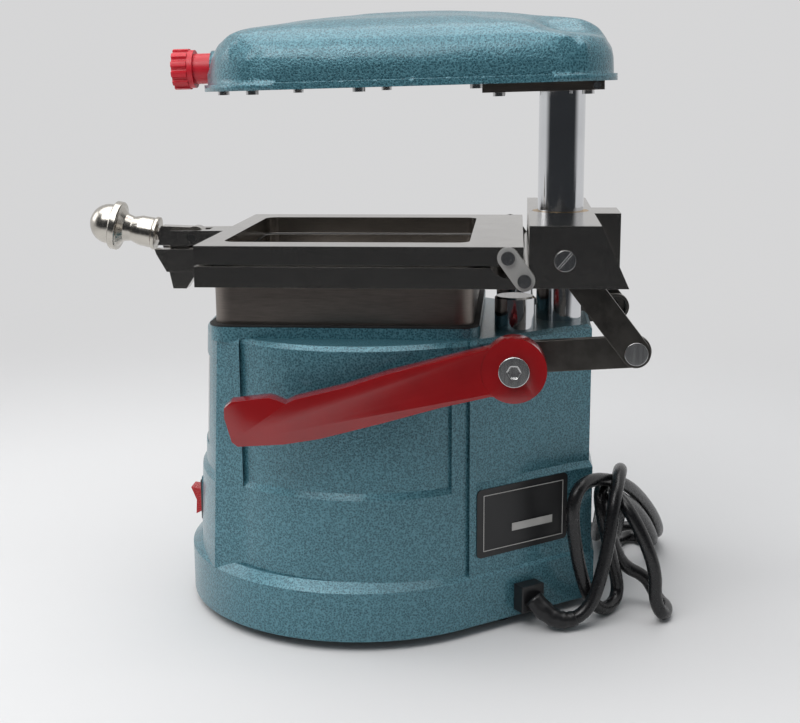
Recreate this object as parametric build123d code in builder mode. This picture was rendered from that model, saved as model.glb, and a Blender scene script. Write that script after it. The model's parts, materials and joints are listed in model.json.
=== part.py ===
from build123d import *
import math
import os

# Vacuum former for 127 mm square sheets.  Lengths in millimetres, angles in degrees.
# Machine coordinates: x to the right-hand (lever) side, y to the rear, both from the
# axis of the column, z up from the floor.

# ---------------------------------------------------------------- driving dimensions

# clearances
running_gap = 0.05           # radial, shaft in its bush
seat_gap = 0.3               # between curved or loose neighbours
clear_gap = 1.0              # round a part that passes a hole without touching it
part_gap = 0.5               # beside parts that swing past each other

# base casting: a drum with a bowed front and a tapering tail, on a wider skirt
floor_gap = 5.0              # height of the skirt's lower edge, set by the feet
skirt_top = 28.2
skirt_ledge = 4.3
mid_top = 70.7
mid_ledge = 3.0
base_top = 140.5
top_bevel = 2.0
drum_radius = 81.5
drum_y = -94.0
mid_step = 1.7               # how far the lower wall stands proud of the upper one
skirt_radius = 87.5
skirt_y = -97.0
front_y = -172.5             # crown of the bowed front, at the top edge
front_lean = 2.6             # draft of the front
front_corner_x = 57.0
front_corner_y = -155.7
facet_y = -143.6
tail_wide_x = 64.5
tail_wide_y = -41.0
tail_narrow_x = 26.0
tail_narrow_y = 6.0
tail_end_x = 20.0
tail_root_step = 3.0         # where the drum's wall turns into the tail
tail_end_y = 15.4
skirt_tail_grow = 3.2
rib_front = (-161.0, -146.0)
rib_rear = (-49.0, -38.0)
base_wall = 4.0
top_wall = 5.0

# bottom cover, its bosses and feet
cover_thickness = 2.0
cover_recess = 1.5
boss_radius = 4.5
boss_circle = 77.0
boss_top = 36.0
boss_angles = (-165, -110, -70, -15, 40, 140)
screw_radius = 1.5
screw_head_radius = 2.8
screw_head_height = 1.8
cover_screw_length = 12.0
foot_radius = 7.0
foot_screw_z = 1.2
vent_pitch = 12.0
vent_count = 5
vent_length = 44.0
vent_width = 5.0
foot_x = 54.0
foot_rear = (40.0, -28.0)
foot_front_y = -149.0

# front panel and switches
panel_half_width = 38.0
panel_bottom = 83.0
panel_height = 44.0
panel_thickness = 0.6
switch_x = 17.0
switch_z = 50.5
switch_face_y = -175.0
switch_pad_half_width = 27.0
switch_pad_height = 26.0
switch_pad_depth = 5.0
bezel_width = 15.0
bezel_height = 21.3
bezel_flange = 1.6
bezel_bevel = 0.6
switch_pocket_depth = 12.0
switch_body_width = 13.0
switch_body_height = 19.2
switch_body_depth = 20.0
rocker_width = 9.6
rocker_height = 15.6
rocker_tilt = 9.0            # each way from level
rocker_pivot_depth = 1.0
rocker_reach = 7.0           # from the pivot to the button's face
rocker_dish = 1.6
rocker_trim = 0.8
rocker_root = 3.6
rocker_pin_radius = 1.2
rocker_pin_reach = 1.0       # of each pin beyond the button

# rating plate on the right-hand side of the tail
rating_width = 54.0
rating_height = 33.0
rating_z = 54.0
rating_thickness = 0.5
rating_corner = 2.5

# vacuum chamber on the drum
plinth_height = 5.0
plinth_margin = 3.0
gasket_thickness = 1.0
chamber_half = 59.5
chamber_y = -99.5
chamber_corner = 9.0
chamber_wall = 5.0
chamber_floor = 4.0
grid_thickness = 1.5
grid_drop = 3.0              # top of the perforated plate below the chamber's rim
grid_ledge = 2.5
grid_hole = 1.6
grid_pitch = 9.5
grid_count = 10
rim_gasket_thickness = 1.5
rim_gasket_width = 2.6
suction_radius = 14.0
chamber_screw_pitch = 92.0

# column
column_radius = 11.0
column_bore = 6.0
column_foot = 74.0           # height of the threaded stub's lower end
column_top = 273.0
socket_radius = 15.0
socket_floor = 92.0          # seat of the column inside its socket
socket_floor_thickness = 6.0
column_stub_radius = 8.0
nut_radius = 12.4
nut_thickness = 8.0
lead_radius = 2.6
terminal_width = 34.0
terminal_depth = 20.0
terminal_height = 12.0

# clamp frame: upper and lower plates round a square window
window = 112.0
window_corner = 6.0
frame_front_y = -163.7
window_front_y = -154.0
lower_bottom = 165.2
lower_thickness = 9.3
sheet_gap = 0.9
upper_thickness = 8.3
upper_rear_y = -17.9
frame_bevel = 0.8
sheet_gasket_width = 4.0
sheet_gasket_depth = 1.2
sheet_gasket_inset = 2.0     # from the window's edge
nose_outline = (
    (-163.0, 174.5),
    (-198.2, 174.5),
    (-197.4, 172.0),
    (-192.5, 163.3),
    (-178.0, 163.6),
    (-163.0, 165.2),
)
slot_half_width = 4.4
catch_wall_y = -178.6
frame_screw_places = ((-50.0, 168.0), (-25.0, 168.0), (25.0, 168.0), (50.0, 168.0))
frame_screw_depth = 11.0

# hinge of the clamp frame: a two-hole plate at each side
hinge_upper_y = -24.6
hinge_upper_z = 179.2
hinge_lower_y = -17.4
hinge_lower_z = 169.2
hinge_plate_width = 9.4
hinge_plate_thickness = 1.6
hinge_screw_radius = 1.8
hinge_head_radius = 3.0
hinge_head_height = 1.4
hinge_socket = 1.6
hinge_screw_length = 12.0
hinge_relief = 9.0           # radius about the upper hinge cleared in the lower plate

# latch at the front of the clamp frame
ear_half_width = 11.0
latch_half_width = 4.0
latch_pin_y = -179.4
latch_pin_z = 180.1
latch_pin_radius = 2.0
knob_seat = 0.5              # from the latch's front to the knob's base
knob_base_z = 180.9
knob_rise = 11.3             # axis of the knob above level
knob_length = 34.7
knob_flange = 0.2            # gap between the knob and the arm
knob_profile = (
    (0.2, 8.3),
    (1.7, 8.3),
    (2.4, 7.6),
    (9.0, 7.4),
    (13.0, 6.1),
    (16.5, 7.0),
    (19.0, 10.0),
    (19.0, 11.6),
    (19.6, 12.1),
    (22.4, 12.1),
    (23.0, 11.6),
)
knob_ring_end = 23.0
knob_dome_radius = 9.8
knob_stud_length = 14.0
knob_stud_radius = 3.0
latch_hub_radius = 5.0
ear_outline = (
    (-163.0, 176.5),
    (-196.6, 176.5),
    (-195.2, 179.4),
    (-193.2, 182.0),
    (-190.6, 183.5),
    (-163.0, 183.7),
)
ear_slot_y = -172.0
latch_outline = (
    (-179.4, 184.6),
    (-196.4, 185.2),
    (-198.4, 181.0),
    (-197.2, 176.6),
    (-192.0, 176.0),
    (-193.2, 163.0),
    (-191.4, 154.0),
    (-184.7, 154.0),
    (-179.6, 161.5),
    (-179.0, 163.7),
    (-183.6, 163.7),
    (-182.6, 176.4),
    (-179.4, 175.6),
)

# carriage that slides on the column
carriage_bottom = 165.6
carriage_height = 27.3
carriage_front_y = -15.5
carriage_rear_top_y = 15.5
carriage_rear_y = 27.9
cheek_gap = 1.4              # beside the links
cheek_wall = 4.1
carriage_bridge = 20.0       # half width of the middle block
carriage_wall = 5.0
lug_half_width = 15.0
lug_y = 28.0
bush_radius = 13.5
bush_length = 10.0

# lever shaft, cranks and links
shaft_y = -21.5
shaft_z = 132.5
shaft_radius = 5.0
crank_length = 53.8
crank_rest = 3.7             # crank above level with the frame down
crank_width = 14.4
crank_thickness = 4.0
crank_x = 58.0               # inner face of the right-hand crank
link_length = 52.8
link_thickness = 4.0
link_gap = 0.6
link_pin_radius = 5.2
crank_pin_radius = 1.9       # shank of the link's pin inside the crank's eye
crank_eye_radius = 5.4
link_pin_head = 1.2
link_width = 13.0
pivot_radius = 3.0
pivot_head_radius = 4.65
pivot_head_height = 1.2
pivot_slot = 0.9
pivot_slot_depth = 0.6
pivot_slot_turn = 50.0

# bearing pillars for the lever shaft
pillar_x = 30.0
pillar_radius = 9.4
pillar_top = 156.0
pillar_seat = 120.0
pillar_socket_wall = 3.5
shaft_bush_radius = 6.6
shaft_bush_length = 13.0

# lever handle
arm_inner_x = 80.0           # inner face of the arm at the shaft
arm_thickness = 9.0
arm_splay = 5.5              # the arm leans out to pass the skirt
hub_back_x = 78.5
hub_face_x = 90.0
hub_radius = 14.2
hub_neck_radius = 10.5
hub_screw_radius = 6.7
hub_screw_height = 2.5
shaft_end_x = 64.0           # left-hand end of the lever shaft
shaft_cover = 6.5            # of the hub, over the end of the shaft
hub_screw_shank = 2.5
hub_screw_depth = 14.0
hub_socket = 3.0
arm_outline = (              # from the axis of the shaft
    (-12.7, 9.4),
    (-26.6, 6.1),
    (-54.6, -0.8),
    (-73.3, -6.7),
    (-95.2, -11.8),
    (-99.1, -13.7),
    (-103.0, -11.9),
    (-106.1, -10.9),
    (-112.3, -11.5),
    (-122.5, -12.7),
    (-125.6, -15.5),
    (-125.6, -19.8),
    (-122.7, -30.4),
    (-120.2, -32.5),
    (-100.4, -31.7),
    (-84.9, -29.4),
    (-57.0, -22.5),
    (-32.3, -15.9),
    (-10.8, -11.3),
    (0.0, -12.0),
    (6.0, 0.0),
    (0.0, 12.0),
)
# heater head
head_z = 253.8               # lower edge of the head at the column
head_droop = 1.25
head_half_x = 70.0
head_front_y = -168.0
head_rear_y = 22.5
head_front_corner = 32.0
head_rear_corner = 26.0
head_bow = 24.0
head_rear_bow = 4.0
head_wall = 2.5
lip_height = 3.0
lip_step = 1.5
head_floor = 1.5             # thickness of the plate that closes the head
heater_half = 50.0
reflector_depth = 18.0
reflector_wall = 1.0
element_radius = 3.2
element_stem_radius = 2.6
element_pitch = 14.0
element_runs = 7
element_length = 84.0
element_drop = 6.5           # axis of the element above the head's lower edge
insulator_half_width = 6.0
insulator_depth = 5.0
bracket_front_y = -37.5
bracket_rear_y = 18.0
bracket_half_x = 27.0
bracket_below = 4.0
bracket_hub_radius = 17.0
bracket_hub_height = 18.0
bracket_screw_x = 20.0
bracket_screw_y = (-30.0, 11.0)
bracket_slot = 1.6
bracket_boss_radius = 5.0
clamp_bolt_y = 14.5
clamp_bolt_radius = 1.2
clamp_head_radius = 1.8
clamp_head_height = 3.0
head_boss_radius = 7.0
head_screw_places = (
    (0.0, -163.5),
    (62.0, -137.0),
    (62.0, -90.0),
    (62.0, -39.0),
    (-62.0, -137.0),
    (-62.0, -90.0),
    (-62.0, -39.0),
)
head_boss_height = 10.0
ridge_profile = (            # (y, height) along the middle of the head
    (-168.0, 7.0),
    (-163.5, 11.5),
    (-160.0, 17.8),
    (-155.0, 22.9),
    (-146.5, 26.9),
    (-135.1, 29.3),
    (-121.1, 31.1),
    (-102.6, 32.7),
    (-84.2, 33.8),
    (-65.9, 34.0),
    (-47.7, 33.4),
    (-29.6, 32.3),
    (-11.6, 30.0),
    (-0.4, 29.0),
    (8.6, 27.6),
    (13.1, 25.4),
    (15.4, 24.0),
    (17.7, 21.0),
    (20.0, 17.2),
    (22.5, 11.0),
)
shoulder_profile = (         # (y, height) beside the ridge
    (-168.0, 6.0),
    (-163.0, 10.5),
    (-159.6, 16.9),
    (-154.3, 22.2),
    (-145.8, 25.9),
    (-134.0, 28.3),
    (-110.0, 30.0),
    (-88.0, 31.2),
    (-65.0, 31.7),
    (-45.0, 30.8),
    (-27.5, 28.6),
    (-19.0, 27.9),
    (-16.0, 27.2),
    (-11.7, 25.1),
    (-7.7, 22.6),
    (-0.2, 21.0),
    (9.1, 20.2),
    (17.8, 18.9),
    (20.6, 15.5),
    (22.5, 9.0),
)
crown_section = (            # (x, height) across the head
    (70.0, 10.0),
    (69.0, 15.0),
    (66.0, 20.5),
    (60.0, 25.5),
    (50.0, 29.5),
    (38.0, 31.6),
    (27.0, 32.2),
)
ridge_section = (            # (x, height) across the ridge
    (30.0, 26.0),
    (27.5, 30.5),
    (25.0, 33.0),
    (20.0, 34.0),
    (0.0, 34.2),
)
head_knob_z = 11.0           # axis of the front knob above the head's lower edge
head_knob_neck_radius = 7.2
head_knob_neck = 8.5
head_pad_depth = 12.0        # boss of the shell behind the knob
head_pad_margin = 1.2
head_knob_ring_radius = 9.0
head_knob_ring = 2.7
head_knob_radius = 9.7
head_knob_flutes = 12
head_knob_flute_radius = 1.3
head_knob_grip = 7.5
head_knob_stud_radius = 3.0
head_knob_stud = 6.0

# vacuum motor under the chamber
motor_y = -97.0
motor_top = 131.0
fan_case_radius = 52.0
fan_case_height = 34.0
motor_can_radius = 40.0
motor_can_height = 62.0
motor_wall = 2.0
fan_radius = 46.0
fan_height = 16.0
armature_radius = 24.0
armature_length = 34.0
motor_shaft_radius = 4.0
bearing_radius = 11.0
bearing_width = 7.0
mount_circle = 58.0
mount_angles = (90, 210, 330)
mount_radius = 6.5
mount_lug = 4.0
mount_depth = 3.5            # screw thread in the base's top wall
seal_width = 6.0
fan_blades = 8
fan_channel = 9.0
fan_clearance = 3.0
fan_hub_radius = 12.0

# power cord
cord_radius = 3.2
gland_along = 33.0           # from the front end of the skirt's facet
gland_size = 13.0
gland_z = 14.8
gland_depth = 7.0
gland_hole = 9.0
lead_route = (               # after the gland, a point inside the hank last
    (57.0, -4.0, 7.6),
    (55.0, 6.5, 3.0),
    (50.0, 17.5, 7.6),
    (47.0, 23.8, 19.6),
    (45.5, 27.0, 41.2),
    (39.0, 25.5, 62.0),
)
hank_foot = (
    (41.0, 12.0),
    (44.0, 46.0),
    (20.0, 62.0),
    (-78.0, 62.0),
    (-80.0, 24.0),
    (26.0, 23.0),
)
hank_crown = (
    (41.0, 12.0),
    (41.0, 28.0),
    (30.0, 33.0),
    (5.0, 32.0),
    (0.0, 24.0),
    (26.0, 23.0),
)
hank_foot_z = 0.4
hank_crown_z = 72.0
tail_route = ((-84.0, 17.0, 5.0), (-74.0, 28.0, 5.0))
plug_x = -86.0
plug_end_y = 6.0
plug_half_width = 8.0
plug_length = 30.0
plug_height = 12.0
plug_relief_length = 8.0
plug_relief_radius = 4.6
plug_pin_width = 1.6
plug_pin_height = 6.3
plug_pin_length = 16.0
plug_pin_x = 6.3
bend_share = 0.45            # of the shorter run that a bend of the cord takes

# ---------------------------------------------------------------- derived places

upper_bottom = lower_bottom + lower_thickness + sheet_gap
upper_top = upper_bottom + upper_thickness
window_y = window_front_y + window / 2
chamber_top = lower_bottom - seat_gap - rim_gasket_thickness
gasket_z = base_top + plinth_height
chamber_z = gasket_z + gasket_thickness
crank_pin_y = shaft_y + crank_length * math.cos(math.radians(crank_rest))
crank_pin_z = shaft_z + crank_length * math.sin(math.radians(crank_rest))
pivot_z = crank_pin_z + math.sqrt(link_length**2 - crank_pin_y**2)
link_x = crank_x + crank_thickness + link_gap
cheek_x = link_x + link_thickness + cheek_gap
frame_half_x = cheek_x + cheek_wall
carriage_top = carriage_bottom + carriage_height
knob_base_y = min(point[0] for point in latch_outline) - knob_seat
knob_tip_y = knob_base_y - knob_length * math.cos(math.radians(knob_rise))
rear_end_y = crank_pin_y + crank_width / 2
shaft_inside_hub = hub_face_x - shaft_cover
splay = math.radians(arm_splay)
arm_reach = -min(point[0] for point in arm_outline)
lever_end_x = arm_inner_x + arm_thickness * math.cos(splay) + arm_reach * math.sin(splay)
hub_inner_x = crank_x + crank_thickness

# the origin is under the middle of the machine's outline, on the floor
column_x = (skirt_radius - lever_end_x) / 2
column_y = -(knob_tip_y + rear_end_y) / 2


def level(height):
    """Level plane, its origin on the column's axis."""
    return Plane(origin=(column_x, column_y, height))


def side(x):
    """Upright plane facing right: local x to the rear, local y up from the floor."""
    return Plane(origin=(column_x + x, column_y, 0), x_dir=(0, 1, 0), z_dir=(1, 0, 0))


def facing_front(y):
    """Upright plane facing the front: local x to the right, local y up from the floor."""
    return Plane(origin=(column_x, column_y + y, 0), x_dir=(1, 0, 0), z_dir=(0, -1, 0))


def bars(plane, places, length, outer, inner=0.0, mode=Mode.ADD):
    """Round bars, or tubes, that stand on a plane."""
    with BuildSketch(plane) as rounds:
        with Locations(*places):
            Circle(outer)
            if inner:
                Circle(inner, mode=Mode.SUBTRACT)
    extrude(rounds.sketch, amount=length, mode=mode)


def block(x_span, y_span, z_span, corner=0.0, mode=Mode.ADD):
    """A box, its upright edges rounded where a corner radius is given."""
    size = (x_span[1] - x_span[0], y_span[1] - y_span[0])
    with BuildSketch(level(z_span[0])) as outline:
        with Locations((sum(x_span) / 2, sum(y_span) / 2)):
            if corner:
                RectangleRounded(*size, corner)
            else:
                Rectangle(*size)
    extrude(outline.sketch, amount=z_span[1] - z_span[0], mode=mode)


def prism(plane, points, amount, both=False, mode=Mode.ADD):
    """A straight-sided prism on a plane."""
    with BuildSketch(plane) as outline:
        with BuildLine():
            Polyline(*points, close=True)
        make_face()
    extrude(outline.sketch, amount=amount, both=both, mode=mode)


pieces = {}


def keep(name, piece):
    """Label a finished piece and list it for export."""
    piece.part.label = name
    pieces[name] = piece.part


# ---------------------------------------------------------------- base casting

lean = math.tan(math.radians(front_lean))


def drum_outline(height, grow):
    """Outline of the base at one height: drum, leaning bowed front, tapering tail."""
    step = lean * (base_top - height)
    corner_x = front_corner_x + grow
    corner_y = front_corner_y - step - grow
    radius = drum_radius + grow
    flank_y = facet_y - step / 2
    flank_x = math.sqrt(radius**2 - (flank_y - drum_y) ** 2)
    wide_x = tail_wide_x + grow
    root_x = tail_wide_x - tail_root_step
    root_y = drum_y + math.sqrt(radius**2 - root_x**2)
    with BuildSketch(level(height)) as outline:
        with BuildLine():
            bow = ThreePointArc(
                (-corner_x, corner_y), (0, front_y - step - grow), (corner_x, corner_y)
            )
            facet = Line(bow @ 1, (flank_x, flank_y))
            drum = ThreePointArc(facet @ 1, (radius, drum_y), (root_x, root_y))
            tail = Polyline(
                drum @ 1,
                (wide_x, tail_wide_y),
                (tail_narrow_x + grow, tail_narrow_y + grow),
                (tail_end_x + grow, tail_end_y + grow),
                (-tail_end_x - grow, tail_end_y + grow),
                (-tail_narrow_x - grow, tail_narrow_y + grow),
                (-wide_x, tail_wide_y),
                (-root_x, root_y),
            )
            far_drum = ThreePointArc(tail @ 1, (-radius, drum_y), (-flank_x, flank_y))
            Line(far_drum @ 1, bow @ 0)
        make_face()
    return outline.sketch


def skirt_outline(height, inset):
    """Outline of the skirt: a wider drum with the same tail."""
    grow = skirt_tail_grow - inset
    radius = skirt_radius - inset
    root_x = tail_wide_x + grow
    root_y = skirt_y + math.sqrt(radius**2 - root_x**2)
    with BuildSketch(level(height)) as outline:
        with BuildLine():
            drum = ThreePointArc((-root_x, root_y), (0, skirt_y - radius), (root_x, root_y))
            Polyline(
                drum @ 1,
                (tail_narrow_x + grow, tail_narrow_y + grow),
                (tail_end_x + grow, tail_end_y + grow),
                (-tail_end_x - grow, tail_end_y + grow),
                (-tail_narrow_x - grow, tail_narrow_y + grow),
                drum @ 0,
            )
        make_face()
    return outline.sketch


def stack(*sections):
    """Solid through a stack of (height, grow) outlines."""
    return loft([drum_outline(height, grow) for height, grow in sections], ruled=True)


def boss_places():
    """Places of the cover's screw bosses, round the inside of the skirt."""
    return [
        (
            boss_circle * math.cos(math.radians(angle)),
            skirt_y + boss_circle * math.sin(math.radians(angle)),
        )
        for angle in boss_angles
    ]


mount_places = [
    (
        mount_circle * math.cos(math.radians(angle)),
        motor_y + mount_circle * math.sin(math.radians(angle)),
    )
    for angle in mount_angles
]

foot_places = [
    (foot_rear[0], foot_rear[1]),
    (-foot_rear[0], foot_rear[1]),
    (foot_x, foot_front_y),
    (-foot_x, foot_front_y),
]


wall_blank = stack(
    (skirt_top, mid_step),
    (mid_top, mid_step),
    (mid_top + mid_ledge, 0),
    (base_top - top_bevel, 0),
    (base_top, -top_bevel),
)
proud_blank = stack(
    (skirt_top, mid_step),
    (base_top - top_bevel, mid_step),
    (base_top, mid_step - top_bevel),
)
cavity_blank = stack(
    (floor_gap, mid_step - base_wall),
    (mid_top, mid_step - base_wall),
    (base_top - top_wall, -base_wall),
)
with BuildPart() as rib_zones:
    for rib_span in (rib_front, rib_rear):
        with BuildSketch(level(skirt_top)):
            for rib_side in (1, -1):
                with Locations((rib_side * tail_wide_x, sum(rib_span) / 2)):
                    Rectangle(tail_wide_x / 2, rib_span[1] - rib_span[0])
        extrude(amount=base_top - skirt_top)
ribs = proud_blank & rib_zones.part

skirt_blank = loft(
    [
        skirt_outline(floor_gap, 0),
        skirt_outline(skirt_top, 0),
        skirt_outline(skirt_top + skirt_ledge, skirt_ledge),
    ],
    ruled=True,
)
skirt_cavity = loft(
    [
        skirt_outline(floor_gap, base_wall),
        skirt_outline(skirt_top - top_bevel, base_wall),
    ],
    ruled=True,
)


# a sheet-thick slice of the front wall, for the panel and its recess
def front_slice(outer, inner, half_width, bottom, height):
    """The part of the upper wall between two depths, cut to a rectangle seen from the front."""
    outer_solid = stack((mid_top, outer), (base_top, outer))
    inner_solid = stack((mid_top - clear_gap, inner), (base_top + clear_gap, inner))
    with BuildPart() as window_block:
        with BuildSketch(facing_front(front_corner_y)):
            with Locations((0, bottom + height / 2)):
                Rectangle(2 * half_width, height)
        extrude(amount=2 * (front_corner_y - front_y), both=True)
    return (outer_solid - inner_solid) & window_block.part


panel_recess_blank = front_slice(
    top_bevel, -2 * panel_thickness, panel_half_width + seat_gap, panel_bottom, panel_height
)

# the tail's right-hand facet, for the rating plate and the cord's gland
facet_start = Vector(tail_wide_x + mid_step, tail_wide_y)
facet_end = Vector(tail_narrow_x + mid_step, tail_narrow_y + mid_step)
facet_run = facet_end - facet_start
skirt_root_x = tail_wide_x + skirt_tail_grow
skirt_facet_start = Vector(
    skirt_root_x, skirt_y + math.sqrt(skirt_radius**2 - skirt_root_x**2)
)
skirt_facet_end = Vector(tail_narrow_x + skirt_tail_grow, tail_narrow_y + skirt_tail_grow)
skirt_facet_run = skirt_facet_end - skirt_facet_start


def on_facet(start, run, along, height):
    """Upright plane on a facet of the tail, facing outwards, local y up."""
    place = start + run.normalized() * along
    return Plane(
        origin=(column_x + place.X, column_y + place.Y, height),
        x_dir=run.normalized(),
        z_dir=(run.Y, -run.X, 0),
    )


rating_plane = on_facet(facet_start, facet_run, facet_run.length / 2, rating_z)
gland_plane = on_facet(skirt_facet_start, skirt_facet_run, gland_along, gland_z)

cover_z = floor_gap + cover_recess
boss_bottom = cover_z + cover_thickness
chamber_screw_places = [
    (x * chamber_screw_pitch / 2, chamber_y + y * chamber_screw_pitch / 2)
    for x in (1, -1)
    for y in (1, -1)
]

with BuildPart() as base_body:
    add(wall_blank)
    add(ribs)
    add(skirt_blank)
    # plinth under the vacuum chamber
    with BuildSketch(level(base_top - top_bevel)):
        with Locations((0, chamber_y)):
            RectangleRounded(
                2 * (chamber_half + plinth_margin),
                2 * (chamber_half + plinth_margin),
                chamber_corner + plinth_margin,
            )
    extrude(amount=plinth_height + top_bevel)
    # hollow inside
    add(cavity_blank, mode=Mode.SUBTRACT)
    add(skirt_cavity, mode=Mode.SUBTRACT)
    # sockets for the column and for the bearing pillars
    with BuildSketch(level(socket_floor - socket_floor_thickness)):
        Circle(socket_radius)
    extrude(amount=base_top - top_bevel - socket_floor + socket_floor_thickness)
    with BuildSketch(level(pillar_seat - base_wall)):
        with Locations((pillar_x, shaft_y), (-pillar_x, shaft_y)):
            Circle(pillar_radius + pillar_socket_wall)
    extrude(amount=base_top - top_bevel - pillar_seat + base_wall)
    # bosses for the bottom cover
    with BuildSketch(level(boss_bottom)):
        with Locations(*boss_places()):
            Circle(boss_radius)
    extrude(amount=boss_top - boss_bottom)
    # flat pad for the switches
    for pad_depth, pad_mode in ((-switch_pad_depth, Mode.ADD), (top_wall, Mode.SUBTRACT)):
        with BuildSketch(facing_front(switch_face_y)):
            with Locations((0, switch_z)):
                Rectangle(2 * switch_pad_half_width, switch_pad_height)
        extrude(amount=pad_depth, mode=pad_mode)
    with BuildSketch(facing_front(switch_face_y)):
        with Locations((switch_x, switch_z), (-switch_x, switch_z)):
            Rectangle(switch_body_width + seat_gap, switch_body_height + seat_gap)
    extrude(amount=-2 * switch_pad_depth, mode=Mode.SUBTRACT)
    # recess for the front panel
    add(panel_recess_blank, mode=Mode.SUBTRACT)
    # bores of the sockets, and the column's stub hole below its seat
    with BuildSketch(level(socket_floor)):
        Circle(column_radius + running_gap)
    extrude(amount=base_top - socket_floor, mode=Mode.SUBTRACT)
    with BuildSketch(level(socket_floor - socket_floor_thickness)):
        Circle(column_stub_radius + seat_gap)
    extrude(amount=socket_floor_thickness, mode=Mode.SUBTRACT)
    with BuildSketch(level(pillar_seat)):
        with Locations((pillar_x, shaft_y), (-pillar_x, shaft_y)):
            Circle(pillar_radius + running_gap)
    extrude(amount=base_top - pillar_seat, mode=Mode.SUBTRACT)
    # tunnel for the lever shaft
    with BuildSketch(side(-tail_wide_x)):
        with Locations((shaft_y, shaft_z)):
            Circle(shaft_radius + clear_gap)
    extrude(amount=2 * tail_wide_x, mode=Mode.SUBTRACT)
    # suction port and screw holes under the chamber
    port_length = plinth_height + 2 * top_wall
    for places, radius in (
        ([(0, motor_y)], suction_radius),
        (chamber_screw_places, screw_radius + seat_gap),
    ):
        bars(level(base_top - 2 * top_wall), places, port_length, radius, mode=Mode.SUBTRACT)
    with BuildSketch(level(boss_bottom)):
        with Locations(*boss_places()):
            Circle(screw_radius)
    extrude(amount=cover_screw_length, mode=Mode.SUBTRACT)
    bars(level(base_top - top_wall), mount_places, mount_depth, screw_radius, mode=Mode.SUBTRACT)
    # window in the skirt for the cord's gland
    with BuildSketch(gland_plane):
        Rectangle(gland_hole, gland_hole)
    extrude(amount=-3 * base_wall, mode=Mode.SUBTRACT)
keep("base_body", base_body)

# ---------------------------------------------------------------- bottom cover and feet

cover_face = skirt_outline(cover_z, base_wall + seat_gap)
shank_radius = screw_radius - running_gap

with BuildPart() as bottom_cover:
    extrude(cover_face, amount=cover_thickness)
    cover_holes = boss_places() + foot_places
    bars(level(cover_z), cover_holes, cover_thickness, screw_radius + seat_gap, mode=Mode.SUBTRACT)
    with BuildSketch(level(cover_z)):
        with Locations((0, motor_y)):
            with GridLocations(vent_pitch, 0, vent_count, 1):
                SlotOverall(vent_length, vent_width, rotation=90)
    extrude(amount=cover_thickness, mode=Mode.SUBTRACT)
keep("bottom_cover", bottom_cover)

with BuildPart() as bottom_cover_screws:
    bars(level(cover_z - screw_head_height), boss_places(), screw_head_height, screw_head_radius)
    bars(level(cover_z), boss_places(), cover_thickness + cover_screw_length - seat_gap, shank_radius)
keep("bottom_cover_screws", bottom_cover_screws)

with BuildPart() as rubber_feet:
    bars(level(0), foot_places, cover_z, foot_radius)
    chamfer(rubber_feet.edges().filter_by(GeomType.CIRCLE).group_by(Axis.Z)[0], length=top_bevel / 2)
    foot_recess = foot_screw_z + screw_head_height
    bars(level(0), foot_places, foot_recess, screw_head_radius + seat_gap, mode=Mode.SUBTRACT)
    bars(level(0), foot_places, cover_z, screw_radius, mode=Mode.SUBTRACT)
keep("rubber_feet", rubber_feet)

with BuildPart() as foot_screws:
    foot_screw_length = cover_z + 2 * cover_thickness - foot_screw_z
    bars(level(foot_screw_z), foot_places, screw_head_height, screw_head_radius)
    bars(level(foot_screw_z), foot_places, foot_screw_length, shank_radius)
    bars(level(boss_bottom), foot_places, cover_thickness, 2 * screw_radius, screw_radius)
keep("foot_screws", foot_screws)

# ---------------------------------------------------------------- front panel, switches, plate

front_panel_blank = front_slice(
    -panel_thickness,
    -2 * panel_thickness,
    panel_half_width,
    panel_bottom + seat_gap,
    panel_height - 2 * seat_gap,
)
with BuildPart() as front_panel:
    add(front_panel_blank)
keep("front_panel", front_panel)

with BuildPart() as rating_plate:
    with BuildSketch(rating_plane):
        RectangleRounded(rating_width, rating_height, rating_corner)
    extrude(amount=rating_thickness)
keep("rating_plate", rating_plate)

switch_places = [(switch_x, switch_z), (-switch_x, switch_z)]
rocker_pivot_y = switch_face_y + rocker_pivot_depth
with BuildPart() as switch_bezels:
    with BuildSketch(facing_front(switch_face_y)):
        with Locations(*switch_places):
            RectangleRounded(bezel_width, bezel_height, bezel_flange)
    extrude(amount=bezel_flange)
    chamfer(switch_bezels.faces().filter_by(Axis.Y).sort_by(Axis.Y)[:2].edges(), length=bezel_bevel)
    with BuildSketch(facing_front(switch_face_y)):
        with Locations(*switch_places):
            Rectangle(switch_body_width, switch_body_height)
    extrude(amount=-switch_body_depth)
    with BuildSketch(facing_front(switch_face_y - bezel_flange)):
        with Locations(*switch_places):
            Rectangle(rocker_width + 2 * seat_gap, rocker_height + 2 * part_gap)
    extrude(amount=-switch_pocket_depth, mode=Mode.SUBTRACT)
    for x in (switch_x, -switch_x):
        bars(
            side(x - rocker_width / 2 - rocker_pin_reach - seat_gap),
            [(rocker_pivot_y, switch_z)],
            rocker_width + 2 * rocker_pin_reach + 2 * seat_gap,
            rocker_pin_radius + running_gap,
            mode=Mode.SUBTRACT,
        )
keep("switch_bezels", switch_bezels)


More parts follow.
